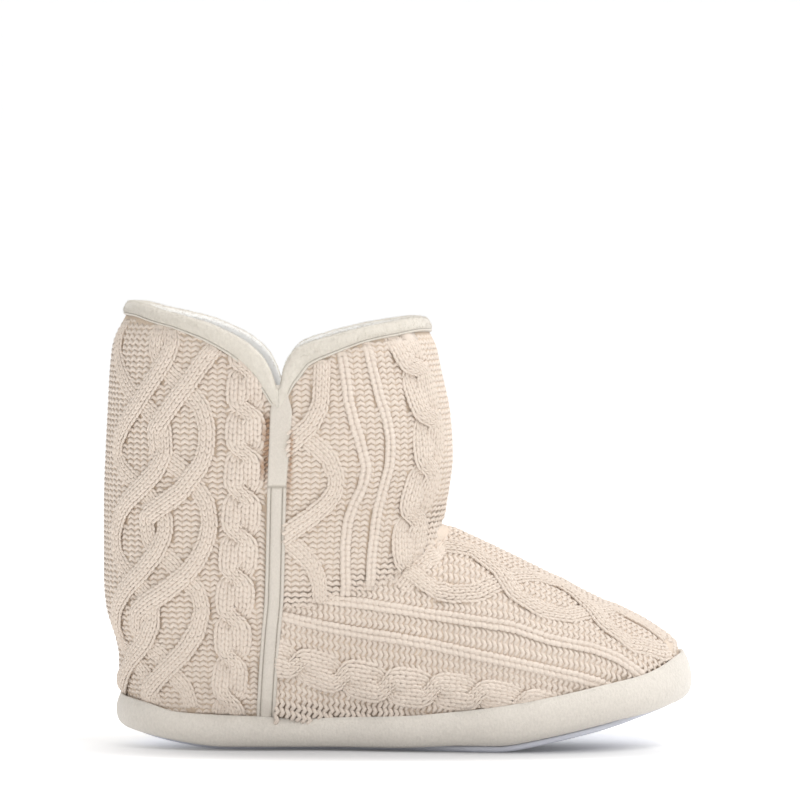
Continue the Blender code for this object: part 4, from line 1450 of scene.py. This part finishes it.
@dataclass
class PaddedSole:
    """Foam sole covered with velour: its bulging side carries the upper."""

    form: SlipperForm
    columns: int = 360
    side_rows: tuple[tuple[float, float], ...] = (
        (0.00, 0.95), (0.05, 0.66), (0.11, 0.42), (0.19, 0.22), (0.28, 0.10), (0.40, 0.02),
        (0.52, 0.00), (0.64, 0.03), (0.75, 0.09), (0.84, 0.18), (0.92, 0.28), (0.97, 0.38),
    )

    def build(self) -> bpy.types.Object:
        """Covered foam sole as one closed form."""
        form = self.form
        angles = all_round(self.columns)
        under_x, _ = form.outline(angles, form.rand_bulge)
        bottom = sagging(form, under_x) + form.outsole_thickness + form.clearance
        x, _ = form.outline(angles)
        top = form.joint_height(x)
        lap = form.outsole_thickness * 0.75 * (1 - toe_half(angles))
        lean, wall = form.toe_lean(angles), form.rand_wall + form.toe_lean(angles)
        wave = 0.00016 * np.sin(np.radians(angles) * 41 + 1.7 * np.sin(np.radians(angles) * 7))
        rings = []
        for share, inset in self.side_rows:
            low = bottom - (lap if share > 0 else 0.0)
            pucker = wave * ramp(share, 0.5, 1.0)
            rings.append(sole_ring(form, angles, inset * form.rand_bulge + lean * share**2 + pucker,
                                   low + (top - low) * share))
        for inset, drop in ((0.50, 0.10), (0.66, 0.14), (0.82, 0.06), (0.94, -0.12), (1.0, -0.45)):
            rings.append(sole_ring(form, angles, lean + form.rand_wall * inset, top + drop * form.rand_wall))
        for inset in (wall, 0.012, 0.022):
            rings.append(sole_ring(form, angles, inset, form.seat_height))
        under = []
        for inset in (0.022, 0.012):
            under.append(sole_ring(form, angles, inset, lambda x: sagging(form, x) + form.outsole_thickness
                                   + form.clearance))
        piece = loft("padded_sole", np.stack(under + rings), capped=False, loop=False)
        close_across(piece, len(under) + len(rings), self.columns)
        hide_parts("midsole")
        return piece


def close_across(piece: bpy.types.Object, rings: int, count: int) -> None:
    """Closes a loft's first and last ring with strips from side to side.

    Args:
        piece: The loft.
        rings: Number of its rings.
        count: Number of points in a ring.
    """
    shell = bmesh.new()
    shell.from_mesh(piece.data)
    shell.verts.ensure_lookup_table()
    for start in (0, (rings - 1) * count):
        for near in range(count // 2):
            corners = [near, near + 1, count - near - 1, (count - near) % count]
            corners = list(dict.fromkeys(corner % count for corner in corners))
            if len(corners) > 2:
                shell.faces.new([shell.verts[start + corner] for corner in corners])
    shell.to_mesh(piece.data)
    shell.free()
    outward_faces(piece)
    piece.data.shade_smooth()


@dataclass
class Outsole:
    """Thin textile outsole under the padded sole."""

    form: SlipperForm
    columns: int = 300
    rim: float = 0.005

    def build(self) -> bpy.types.Object:
        """Outsole as one closed sheet with a rounded edge."""
        form = self.form
        angles = all_round(self.columns)
        edge = form.rand_bulge + form.outsole_inset * (1 - toe_half(angles))
        x, _ = form.outline(angles, edge)
        bottom, thick = sagging(form, x), form.outsole_thickness
        rings = []
        for inset, lift in ((0.022, 0.0), (0.012, 0.0), (0.0012, 0.0), (0.0004, 0.12), (0.0, 0.4), (0.0, 0.8),
                            (0.0004, 1.0), (0.012, 1.0), (0.022, 1.0)):
            x, y = form.outline(angles, edge + inset)
            level = sagging(form, x) if inset > self.rim else bottom
            rings.append(np.stack([x, y, level + lift * thick], axis=-1))
        piece = loft("textile_outsole", np.stack(rings))
        close_across(piece, len(rings), self.columns)
        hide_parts("outsole")
        return piece


@dataclass
class InsolePad:
    """Plush insole that lies on the foam."""

    form: SlipperForm
    columns: int = 240

    def build(self) -> bpy.types.Object:
        """Insole as one closed pad with a soft edge and a shallow heel cup."""
        form = self.form
        angles = all_round(self.columns)
        wall = form.rand_wall + form.toe_lean(angles) + 2 * form.clearance + form.wall
        rings = []
        for inset, lift in ((0.020, 0.0), (0.010, 0.0), (0.0005, 0.0), (0.0, 0.35), (0.0003, 0.75),
                            (0.0015, 1.0), (0.004, 1.05), (0.010, 0.9), (0.020, 0.8)):
            rings.append(sole_ring(form, angles, wall + inset, lambda x: form.seat_height(x) + form.clearance
                                   + lift * form.insole_thickness))
        piece = loft("insole_pad", np.stack(rings))
        close_across(piece, len(rings), self.columns)
        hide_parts("insole")
        return piece


@dataclass
class KnitGround:
    """The knit's body under its stitches, and the plush lining inside it."""

    form: SlipperForm
    columns: int = 180
    rows: int = 56
    sunk: float = 0.0003
    body: float = 0.0020

    def heights(self, angles: np.ndarray) -> np.ndarray:
        """Heights of the rows for each column, from the tucked edge to the collar."""
        form = self.form
        under = form.sole_angle(angles)
        x, _ = form.outline(under, form.rand_wall + form.toe_lean(under) + form.clearance)
        low, top = form.seat_height(x) + form.clearance, form.collar_height(angles)
        share = np.linspace(0.0, 1.0, self.rows)[:, None]
        return low + (top - low) * share

    def surface(self) -> tuple[np.ndarray, np.ndarray]:
        """Rows of places on the upper's outside, and the normals there."""
        angles = all_round(self.columns)
        heights = self.heights(angles)
        return self.form.point(angles[None, :], heights), self.form.outward(angles[None, :], heights)

    def shell(self, name: str, outer: float, inner: float, deep: float) -> bpy.types.Object:
        """Closed shell between two depths under the form's outside.

        Args:
            name: The piece's name.
            outer: Depth of its outer face.
            inner: Depth of its inner face.
            deep: 1 where the inner face dips under the seam like the outer one, 0 where it doesn't.

        Returns:
            The shell, its tone highest near the seam and on the foot, where the ground gets painted light.
        """
        point, normal = self.surface()
        gap = self.form.seam_gap(point[..., 0], point[..., 2])
        dip = normal * (0.0008 * bell(gap, 0.005))[..., None]
        rings = np.concatenate([point - dip - normal * outer, (point - dip * deep - normal * inner)[::-1]])
        # Painted light on the ground near the seam and on the upward-facing foot.
        tone = np.maximum(bell(gap, 0.010), 0.6 * ramp(point[..., 0], 0.0, 0.03))
        return loft(name, rings, loop=True, tones=np.concatenate([tone, tone[::-1]]))

    def build(self) -> list[bpy.types.Object]:
        """Knit ground, lining and the lining's pile."""
        wall, lowest = self.form.wall, 30
        ground = self.shell("knit_ground", self.sunk, self.sunk + self.body, 1.0)
        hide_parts("upper")
        coarse = replace(self, columns=120, rows=40)
        lining = coarse.shell("plush_lining", self.sunk + self.body + 0.0002, wall, 0.0)
        point, normal = self.surface()
        inside = point - normal * wall
        pile = fuzz("plush_lining_fuzz", inside[lowest:], -normal[lowest:], 9000, 0.0022, 3)
        return [ground, lining, pile]


@dataclass
class Studio:
    """Pale floor and backdrop, soft lights and the camera at the photograph's angle."""

    distance: float = 2.2
    elevation: float = 3.7
    frame_width: float = 0.360
    aim_height: float = 0.100
    raised: float = 0.05345
    shifted: float = -0.00225

    def camera(self) -> None:
        """Camera that looks along +Y a little downwards."""
        low = math.radians(self.elevation)
        up = np.array([0.0, math.sin(low), math.cos(low)])
        away = np.array([0.0, math.cos(low), -math.sin(low)])
        stand = np.array([self.shifted, 0.0, 0.0]) + up * self.aim_height - away * self.distance
        aim = np.array([self.shifted, 0.0, 0.0]) + up * (self.aim_height + self.raised)
        data = bpy.data.cameras.new("camera")
        data.sensor_width = 36.0
        data.lens = 36.0 * float(np.linalg.norm(aim - stand)) / self.frame_width
        data.clip_end = 50.0
        camera = bpy.data.objects.new("camera", data)
        camera.location = stand
        camera.rotation_euler = (math.atan2(aim[1] - stand[1], stand[2] - aim[2]), 0.0, 0.0)
        bpy.context.scene.collection.objects.link(camera)
        bpy.context.scene.camera = camera

    def light(self, name: str, place: Sequence[float], size: float, power: float) -> None:
        """Soft square light that faces the slipper.

        Args:
            name: The light's name.
            place: Where it stands.
            size: Length of its sides.
            power: Power in watts.
        """
        data = bpy.data.lights.new(name, "AREA")
        data.size, data.energy = size, power
        light = bpy.data.objects.new(name, data)
        light.location = place
        aim = np.array([0.0, 0.0, 0.08]) - np.array(place)
        light.rotation_euler = (math.atan2(math.hypot(aim[0], aim[1]), -aim[2]), 0.0,
                                math.atan2(aim[1], aim[0]) - math.pi / 2)
        bpy.context.scene.collection.objects.link(light)

    def floor(self) -> None:
        """Pale floor that sweeps up into a backdrop."""
        profile = [(-6.0, 0.0), (-2.0, 0.0), (0.0, 0.0), (4.0, 0.0)]
        for step in range(1, 17):
            turn = math.radians(90 * step / 16)
            profile.append((4.0 + 2.0 * math.sin(turn), 2.0 * (1 - math.cos(turn))))
        profile.append((6.0, 6.0))
        rows = [[(x, y, z) for x in np.linspace(-8.0, 8.0, 9)] for y, z in profile]
        floor = loft("floor", np.array(rows), closed_round=False)
        floor.data.materials.append(FloorFinish().material())

    def build(self) -> None:
        """Camera, floor, lights and the pale surroundings."""
        self.camera()
        self.floor()
        self.light("key_light", (1.2, -1.1, 1.9), 1.0, 15.0)
        self.light("fill_light", (-1.4, -1.4, 1.0), 1.0, 4.0)
        self.light("top_light", (0.6, 0.0, 1.9), 1.0, 21.0)
        world = bpy.data.worlds.new("surroundings")
        bpy.context.scene.world = world
        world.use_nodes = True
        back = world.node_tree.nodes["Background"]
        back.inputs["Color"].default_value = (1.0, 1.0, 1.0, 1.0)
        back.inputs["Strength"].default_value = 0.52
        bpy.context.scene.view_settings.view_transform = "Standard"


class Value:
    """A number that varies over a surface: a shader socket whose operators add Math nodes."""

    def __init__(self, shader: "Shader", socket: bpy.types.NodeSocket) -> None:
        """Wraps a socket of a shader."""
        self.shader, self.socket = shader, socket

    def _math(self, kind: str, *terms: Any) -> "Value":
        """Result of a Math node on terms."""
        out = self.shader.node("ShaderNodeMath", {"operation": kind}, dict(enumerate(terms)))
        return Value(self.shader, out)

    def __add__(self, other: Any) -> "Value":
        """Sum."""
        return self._math("ADD", self, other)

    def __sub__(self, other: Any) -> "Value":
        """Difference."""
        return self._math("SUBTRACT", self, other)

    def __rsub__(self, other: Any) -> "Value":
        """Reflected difference."""
        return self._math("SUBTRACT", other, self)

    def __mul__(self, other: Any) -> "Value":
        """Product."""
        return self._math("MULTIPLY", self, other)

    def at_most(self, other: Any) -> "Value":
        """The lower of this and another."""
        return self._math("MINIMUM", self, other)

    def at_least(self, other: Any) -> "Value":
        """The higher of this and another."""
        return self._math("MAXIMUM", self, other)

    def held(self) -> "Value":
        """This, held between 0 and 1."""
        return self.at_most(1.0).at_least(0.0)

    def square(self) -> "Value":
        """Square."""
        return self * self

    def falloff(self) -> "Value":
        """1 at zero, falling off to 0 as this grows."""
        return self._math("EXPONENT", self * -1.0)

    __radd__, __rmul__ = __add__, __mul__


class Shader:
    """Node tree of one material."""

    def __init__(self, name: str) -> None:
        """Starts a material of its own."""
        self.material = bpy.data.materials.new(name)
        self.material.use_nodes = True
        self.tree = self.material.node_tree
        self.surface = self.tree.nodes["Principled BSDF"]

    def node(self, kind: str, settings: dict[str, Any] | None = None,
             inputs: dict[Any, Any] | None = None, output: Any = 0) -> bpy.types.NodeSocket:
        """Adds a node.

        Args:
            kind: Node type.
            settings: Properties, which are set first.
            inputs: Values or links of its sockets by name or number.
            output: Name or number of the socket to hand back.

        Returns:
            The output socket.
        """
        node = self.tree.nodes.new(kind)
        for key, value in (settings or {}).items():
            setattr(node, key, value)
        for key, value in (inputs or {}).items():
            self.feed(node.inputs[key], value)
        return node.outputs[output]

    def feed(self, socket: bpy.types.NodeSocket, value: Any) -> None:
        """Links or sets a socket."""
        if isinstance(value, Value):
            value = value.socket
        if isinstance(value, bpy.types.NodeSocket):
            self.tree.links.new(value, socket)
        else:
            socket.default_value = value

    def place(self) -> bpy.types.NodeSocket:
        """Object coordinates."""
        return self.node("ShaderNodeTexCoord", output="Object")

    def noise(self, scale: float, detail: float = 3.0, rough: float = 0.5, stretch: Any = None) -> Value:
        """Soft noise from 0 to 1.

        Args:
            scale: Lumps in a metre.
            detail: Number of finer layers.
            rough: Weight of the finer layers.
            stretch: Scale along each axis.

        Returns:
            The noise.
        """
        where = self.place()
        if stretch is not None:
            where = self.node("ShaderNodeMapping", inputs={"Vector": where, "Scale": stretch})
        return Value(self, self.node("ShaderNodeTexNoise", inputs={
            "Vector": where, "Scale": scale, "Detail": detail, "Roughness": rough}))

    def cells(self, scale: float) -> Value:
        """Distance to scattered points."""
        return Value(self, self.node("ShaderNodeTexVoronoi", {"feature": "F1"}, {
            "Vector": self.place(), "Scale": scale}))

    def attribute(self, name: str) -> Value:
        """Number kept on the mesh."""
        return Value(self, self.node("ShaderNodeAttribute", {"attribute_name": name}, output="Fac"))

    def mix(self, share: Any, first: Any, second: Any) -> bpy.types.NodeSocket:
        """Colour between two colours.

        Args:
            share: Share of the second colour.
            first: First colour.
            second: Second colour.

        Returns:
            The colour's socket.
        """
        share_socket, first_socket, second_socket, colour_socket = 0, 6, 7, 2
        return self.node("ShaderNodeMix", {"data_type": "RGBA"},
                         {share_socket: share, first_socket: first, second_socket: second}, colour_socket)

    def finish(self, colour: Any, roughness: Any, relief: Value | None = None, depth: float = 0.0003,
               strength: float = 1.0, sheen: float = 0.0) -> bpy.types.Material:
        """Feeds the surface.

        Args:
            colour: Base colour.
            roughness: Roughness.
            relief: Height from 0 to 1 of the fine relief.
            depth: Depth of the relief in metres.
            strength: Strength of the relief.
            sheen: Weight of the fibres' sheen.

        Returns:
            The finished material.
        """
        self.feed(self.surface.inputs["Base Color"], colour)
        self.feed(self.surface.inputs["Roughness"], roughness)
        self.surface.inputs["Specular IOR Level"].default_value = 0.25
        if sheen:
            self.surface.inputs["Sheen Weight"].default_value = sheen
            self.surface.inputs["Sheen Roughness"].default_value = 0.6
        if relief is not None:
            bump = self.node("ShaderNodeBump", inputs={"Strength": strength, "Distance": depth,
                                                       "Height": relief})
            self.feed(self.surface.inputs["Normal"], bump)
        return self.material


def paint(red: int, green: int, blue: int) -> tuple[float, float, float, float]:
    """Linear colour of a shade given as it looks on a screen, 0 to 255."""
    linear = [v / 12.92 if v <= 0.04045 else ((v + 0.055) / 1.055) ** 2.4
              for v in (red / 255, green / 255, blue / 255)]
    return (*linear, 1.0)


@dataclass(frozen=True)
class YarnFinish:
    """Matt wool-look yarn, slightly uneven in shade, with fine twisted fibres, and painted shade where its
    tone falls below zero.
    """

    light: tuple = paint(234, 221, 208)
    deep: tuple = paint(216, 201, 187)
    # Colour of the painted shade on the stitches.
    shade_brown: tuple = paint(168, 134, 106)
    name: str = "oatmeal_yarn"

    def material(self) -> bpy.types.Material:
        """The yarn's material."""
        shader = Shader(self.name)
        tone = shader.attribute("tone")
        cloud = shader.noise(28.0, 2.0)
        fibre = shader.noise(2600.0, 3.0, 0.6)
        twist = shader.noise(900.0, 2.0, 0.5)
        share = (tone * 0.55 + cloud * 0.35 + fibre * 0.25 - 0.1).held()
        colour = shader.mix(share, self.deep, self.light)
        # Painted shade: a tone below zero, set by the knitter's shade(), turns the yarn brown.
        colour = shader.mix((0.0 - tone).at_least(0.0).at_most(0.9), colour, self.shade_brown)
        return shader.finish(colour, 0.9, fibre * 0.6 + twist * 0.4, 0.00035, 0.8, 0.25)


@dataclass(frozen=True)
class GroundFinish:
    """Body of the knit between and behind the stitches, darker than the yarn as painted shade, lighter where
    the tone is high as painted light.
    """

    shade: tuple = paint(202, 182, 161)
    light: tuple = paint(216, 198, 179)
    # Lighter ground colour for painted light near the seam and on the foot.
    painted_light: tuple = paint(233, 218, 203)
    name: str = "knit_ground"

    def material(self) -> bpy.types.Material:
        """The ground's material."""
        shader = Shader(self.name)
        cloud = shader.noise(40.0, 2.0)
        fibre = shader.noise(1500.0, 3.0, 0.6)
        colour = shader.mix(cloud * 0.5 + fibre * 0.5, self.shade, self.light)
        # Painted light: a high tone lightens the ground near the seam and on the foot.
        colour = shader.mix(shader.attribute("tone"), colour, self.painted_light)
        return shader.finish(colour, 0.95, fibre, 0.0006, 0.8, 0.1)


@dataclass(frozen=True)
class VelourFinish:
    """Short brushed nap over a fine weave, ivory, a little greyer where it is rubbed."""

    light: tuple = paint(229, 222, 212)
    rubbed: tuple = paint(206, 199, 189)
    # Colour for the sewn stitches, and for painted shade in the sewn grooves, along the lower edges and in
    # the tape's fold.
    seam: tuple = paint(150, 140, 126)
    fleece: tuple = paint(250, 249, 246)
    name: str = "ivory_velour"
    weave: float = 1100.0
    nap: float = 0.00050

    def material(self) -> bpy.types.Material:
        """The velour's material."""
        shader = Shader(self.name)
        cloud = shader.noise(22.0, 3.0)
        nap = shader.noise(900.0, 4.0, 0.7)
        weave = shader.noise(self.weave, 2.0, 0.5, (1.0, 1.0, 0.45))
        share = (cloud * 0.5 + nap * 1.2 + weave * 0.8 - 0.75).held()
        tone = shader.attribute("tone")
        # A positive tone turns the velour towards the seam colour: the stitches, and painted shade in
        # grooves, at lower edges and in the fold.
        colour = shader.mix(tone.at_least(0.0), shader.mix(share, self.rubbed, self.light), self.seam)
        colour = shader.mix((0.0 - tone).at_least(0.0).at_most(1.0), colour, self.fleece)
        return shader.finish(colour, 0.92, nap * 0.6 + weave * 0.4, self.nap, 0.9, 0.35)


@dataclass(frozen=True)
class PlushFinish:
    """White teddy plush: clumped curly pile."""

    light: tuple = paint(253, 252, 250)
    deep: tuple = paint(240, 238, 234)
    name: str = "white_plush"

    def material(self) -> bpy.types.Material:
        """The plush's material."""
        shader = Shader(self.name)
        clump = shader.noise(330.0, 3.0, 0.6)
        curl = shader.noise(1200.0, 4.0, 0.7)
        pile = clump * 0.6 + curl * 0.4
        colour = shader.mix((pile * 1.8 - 0.4).held(), self.deep, self.light)
        return shader.finish(colour, 1.0, pile, 0.0022, 0.9, 0.5)


@dataclass(frozen=True)
class OutsoleFinish:
    """Thin matt textile with a faint lavender tinge and a fine rib."""

    light: tuple = paint(219, 221, 229)
    deep: tuple = paint(199, 201, 211)
    name: str = "outsole_cloth"

    def material(self) -> bpy.types.Material:
        """The outsole cloth's material."""
        shader = Shader(self.name)
        grain = shader.noise(1400.0, 3.0, 0.6)
        dots = shader.cells(420.0)
        cloud = shader.noise(30.0, 3.0)
        colour = shader.mix(grain * 0.5 + cloud * 0.5, self.deep, self.light)
        return shader.finish(colour, 0.8, grain * 0.5 + (1.0 - dots) * 0.5, 0.0003, 0.7)


@dataclass(frozen=True)
class FloorFinish:
    """Pale studio floor with a soft painted shadow under the slipper."""

    shade: tuple = (0.93, 0.93, 0.93, 1.0)
    # Painted shadow: darker colour and weaker glow under the slipper.
    under: tuple = (0.50, 0.50, 0.51, 1.0)
    glow: tuple = (1.0, 1.0, 1.0, 1.0)
    shadow_glow: tuple = (0.15, 0.15, 0.15, 1.0)
    name: str = "studio_floor"

    def material(self) -> bpy.types.Material:
        """The floor's material."""
        shader = Shader(self.name)
        where = shader.node("ShaderNodeSeparateXYZ", inputs={"Vector": shader.place()}).node.outputs
        x, y = Value(shader, where[0]), Value(shader, where[1])
        # Soft ellipse round the slipper's footprint that carries the painted shadow.
        near = ((y + 0.040) * 22.0).square() + ((x - 0.002) * 7.25).square()
        deep = near.square().falloff()
        glow = shader.mix(deep, self.glow, self.shadow_glow)
        shader.feed(shader.surface.inputs["Emission Color"], glow)
        shader.surface.inputs["Emission Strength"].default_value = 0.38
        return shader.finish(shader.mix(deep, self.shade, self.under), 0.9)


def dress(piece: bpy.types.Object, material: bpy.types.Material) -> None:
    """Gives a piece its material and slot and lets it ride on the slipper's body.

    Args:
        piece: The finished piece.
        material: Its finish.
    """
    piece.data.materials.clear()
    piece.data.materials.append(material)
    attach(piece, "root")
    piece.data.calc_loop_triangles()
    log.info("%s: %d triangles", piece.name, len(piece.data.loop_triangles))


def main() -> None:
    """Builds the slipper's looks in order and reports each piece."""
    logging.basicConfig(level=logging.INFO, format="%(message)s")
    form = SlipperForm()
    Studio().build()
    ground, *lining = KnitGround(form).build()
    dress(ground, GroundFinish().material())
    yarn = YarnFinish().material()
    for piece in KnittedUpper(form).build():
        dress(piece, yarn)
    plush = PlushFinish().material()
    for piece in lining:
        dress(piece, plush)
    velour = VelourFinish().material()
    binding = VelourFinish(name="ivory_binding", light=paint(226, 219, 207),
                           rubbed=paint(206, 199, 187)).material()
    ribbon = VelourFinish(name="ivory_ribbon", light=paint(220, 212, 201), rubbed=paint(200, 192, 181),
                          weave=2200.0, nap=0.00022).material()
    for name, node, middle in (("plush_binding_front", "collar_binding_front", 0.0),
                               ("plush_binding_back", "collar_binding_back", 180.0)):
        pieces = CollarBinding(form, name, node, middle).build()
        for piece in pieces:
            dress(piece, binding)
    for side, name, node in ((Side.OUTER, "velour_tape_outer", "side_tape_outer"),
                             (Side.INNER, "velour_tape_inner", "side_tape_inner")):
        for piece in SideTape(form, side, name, node).build():
            dress(piece, ribbon)
    sole, pad = PaddedSole(form).build(), InsolePad(form).build()
    dress(sole, velour)
    dress(pad, plush)
    dress(Outsole(form).build(), OutsoleFinish().material())


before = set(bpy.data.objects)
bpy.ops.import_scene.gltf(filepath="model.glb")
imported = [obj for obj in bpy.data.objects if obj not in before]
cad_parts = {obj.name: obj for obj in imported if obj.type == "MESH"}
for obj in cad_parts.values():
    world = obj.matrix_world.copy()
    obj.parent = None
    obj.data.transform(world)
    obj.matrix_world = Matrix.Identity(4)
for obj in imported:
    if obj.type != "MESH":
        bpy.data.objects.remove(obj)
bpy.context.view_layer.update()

if __name__ == "__main__":
    main()
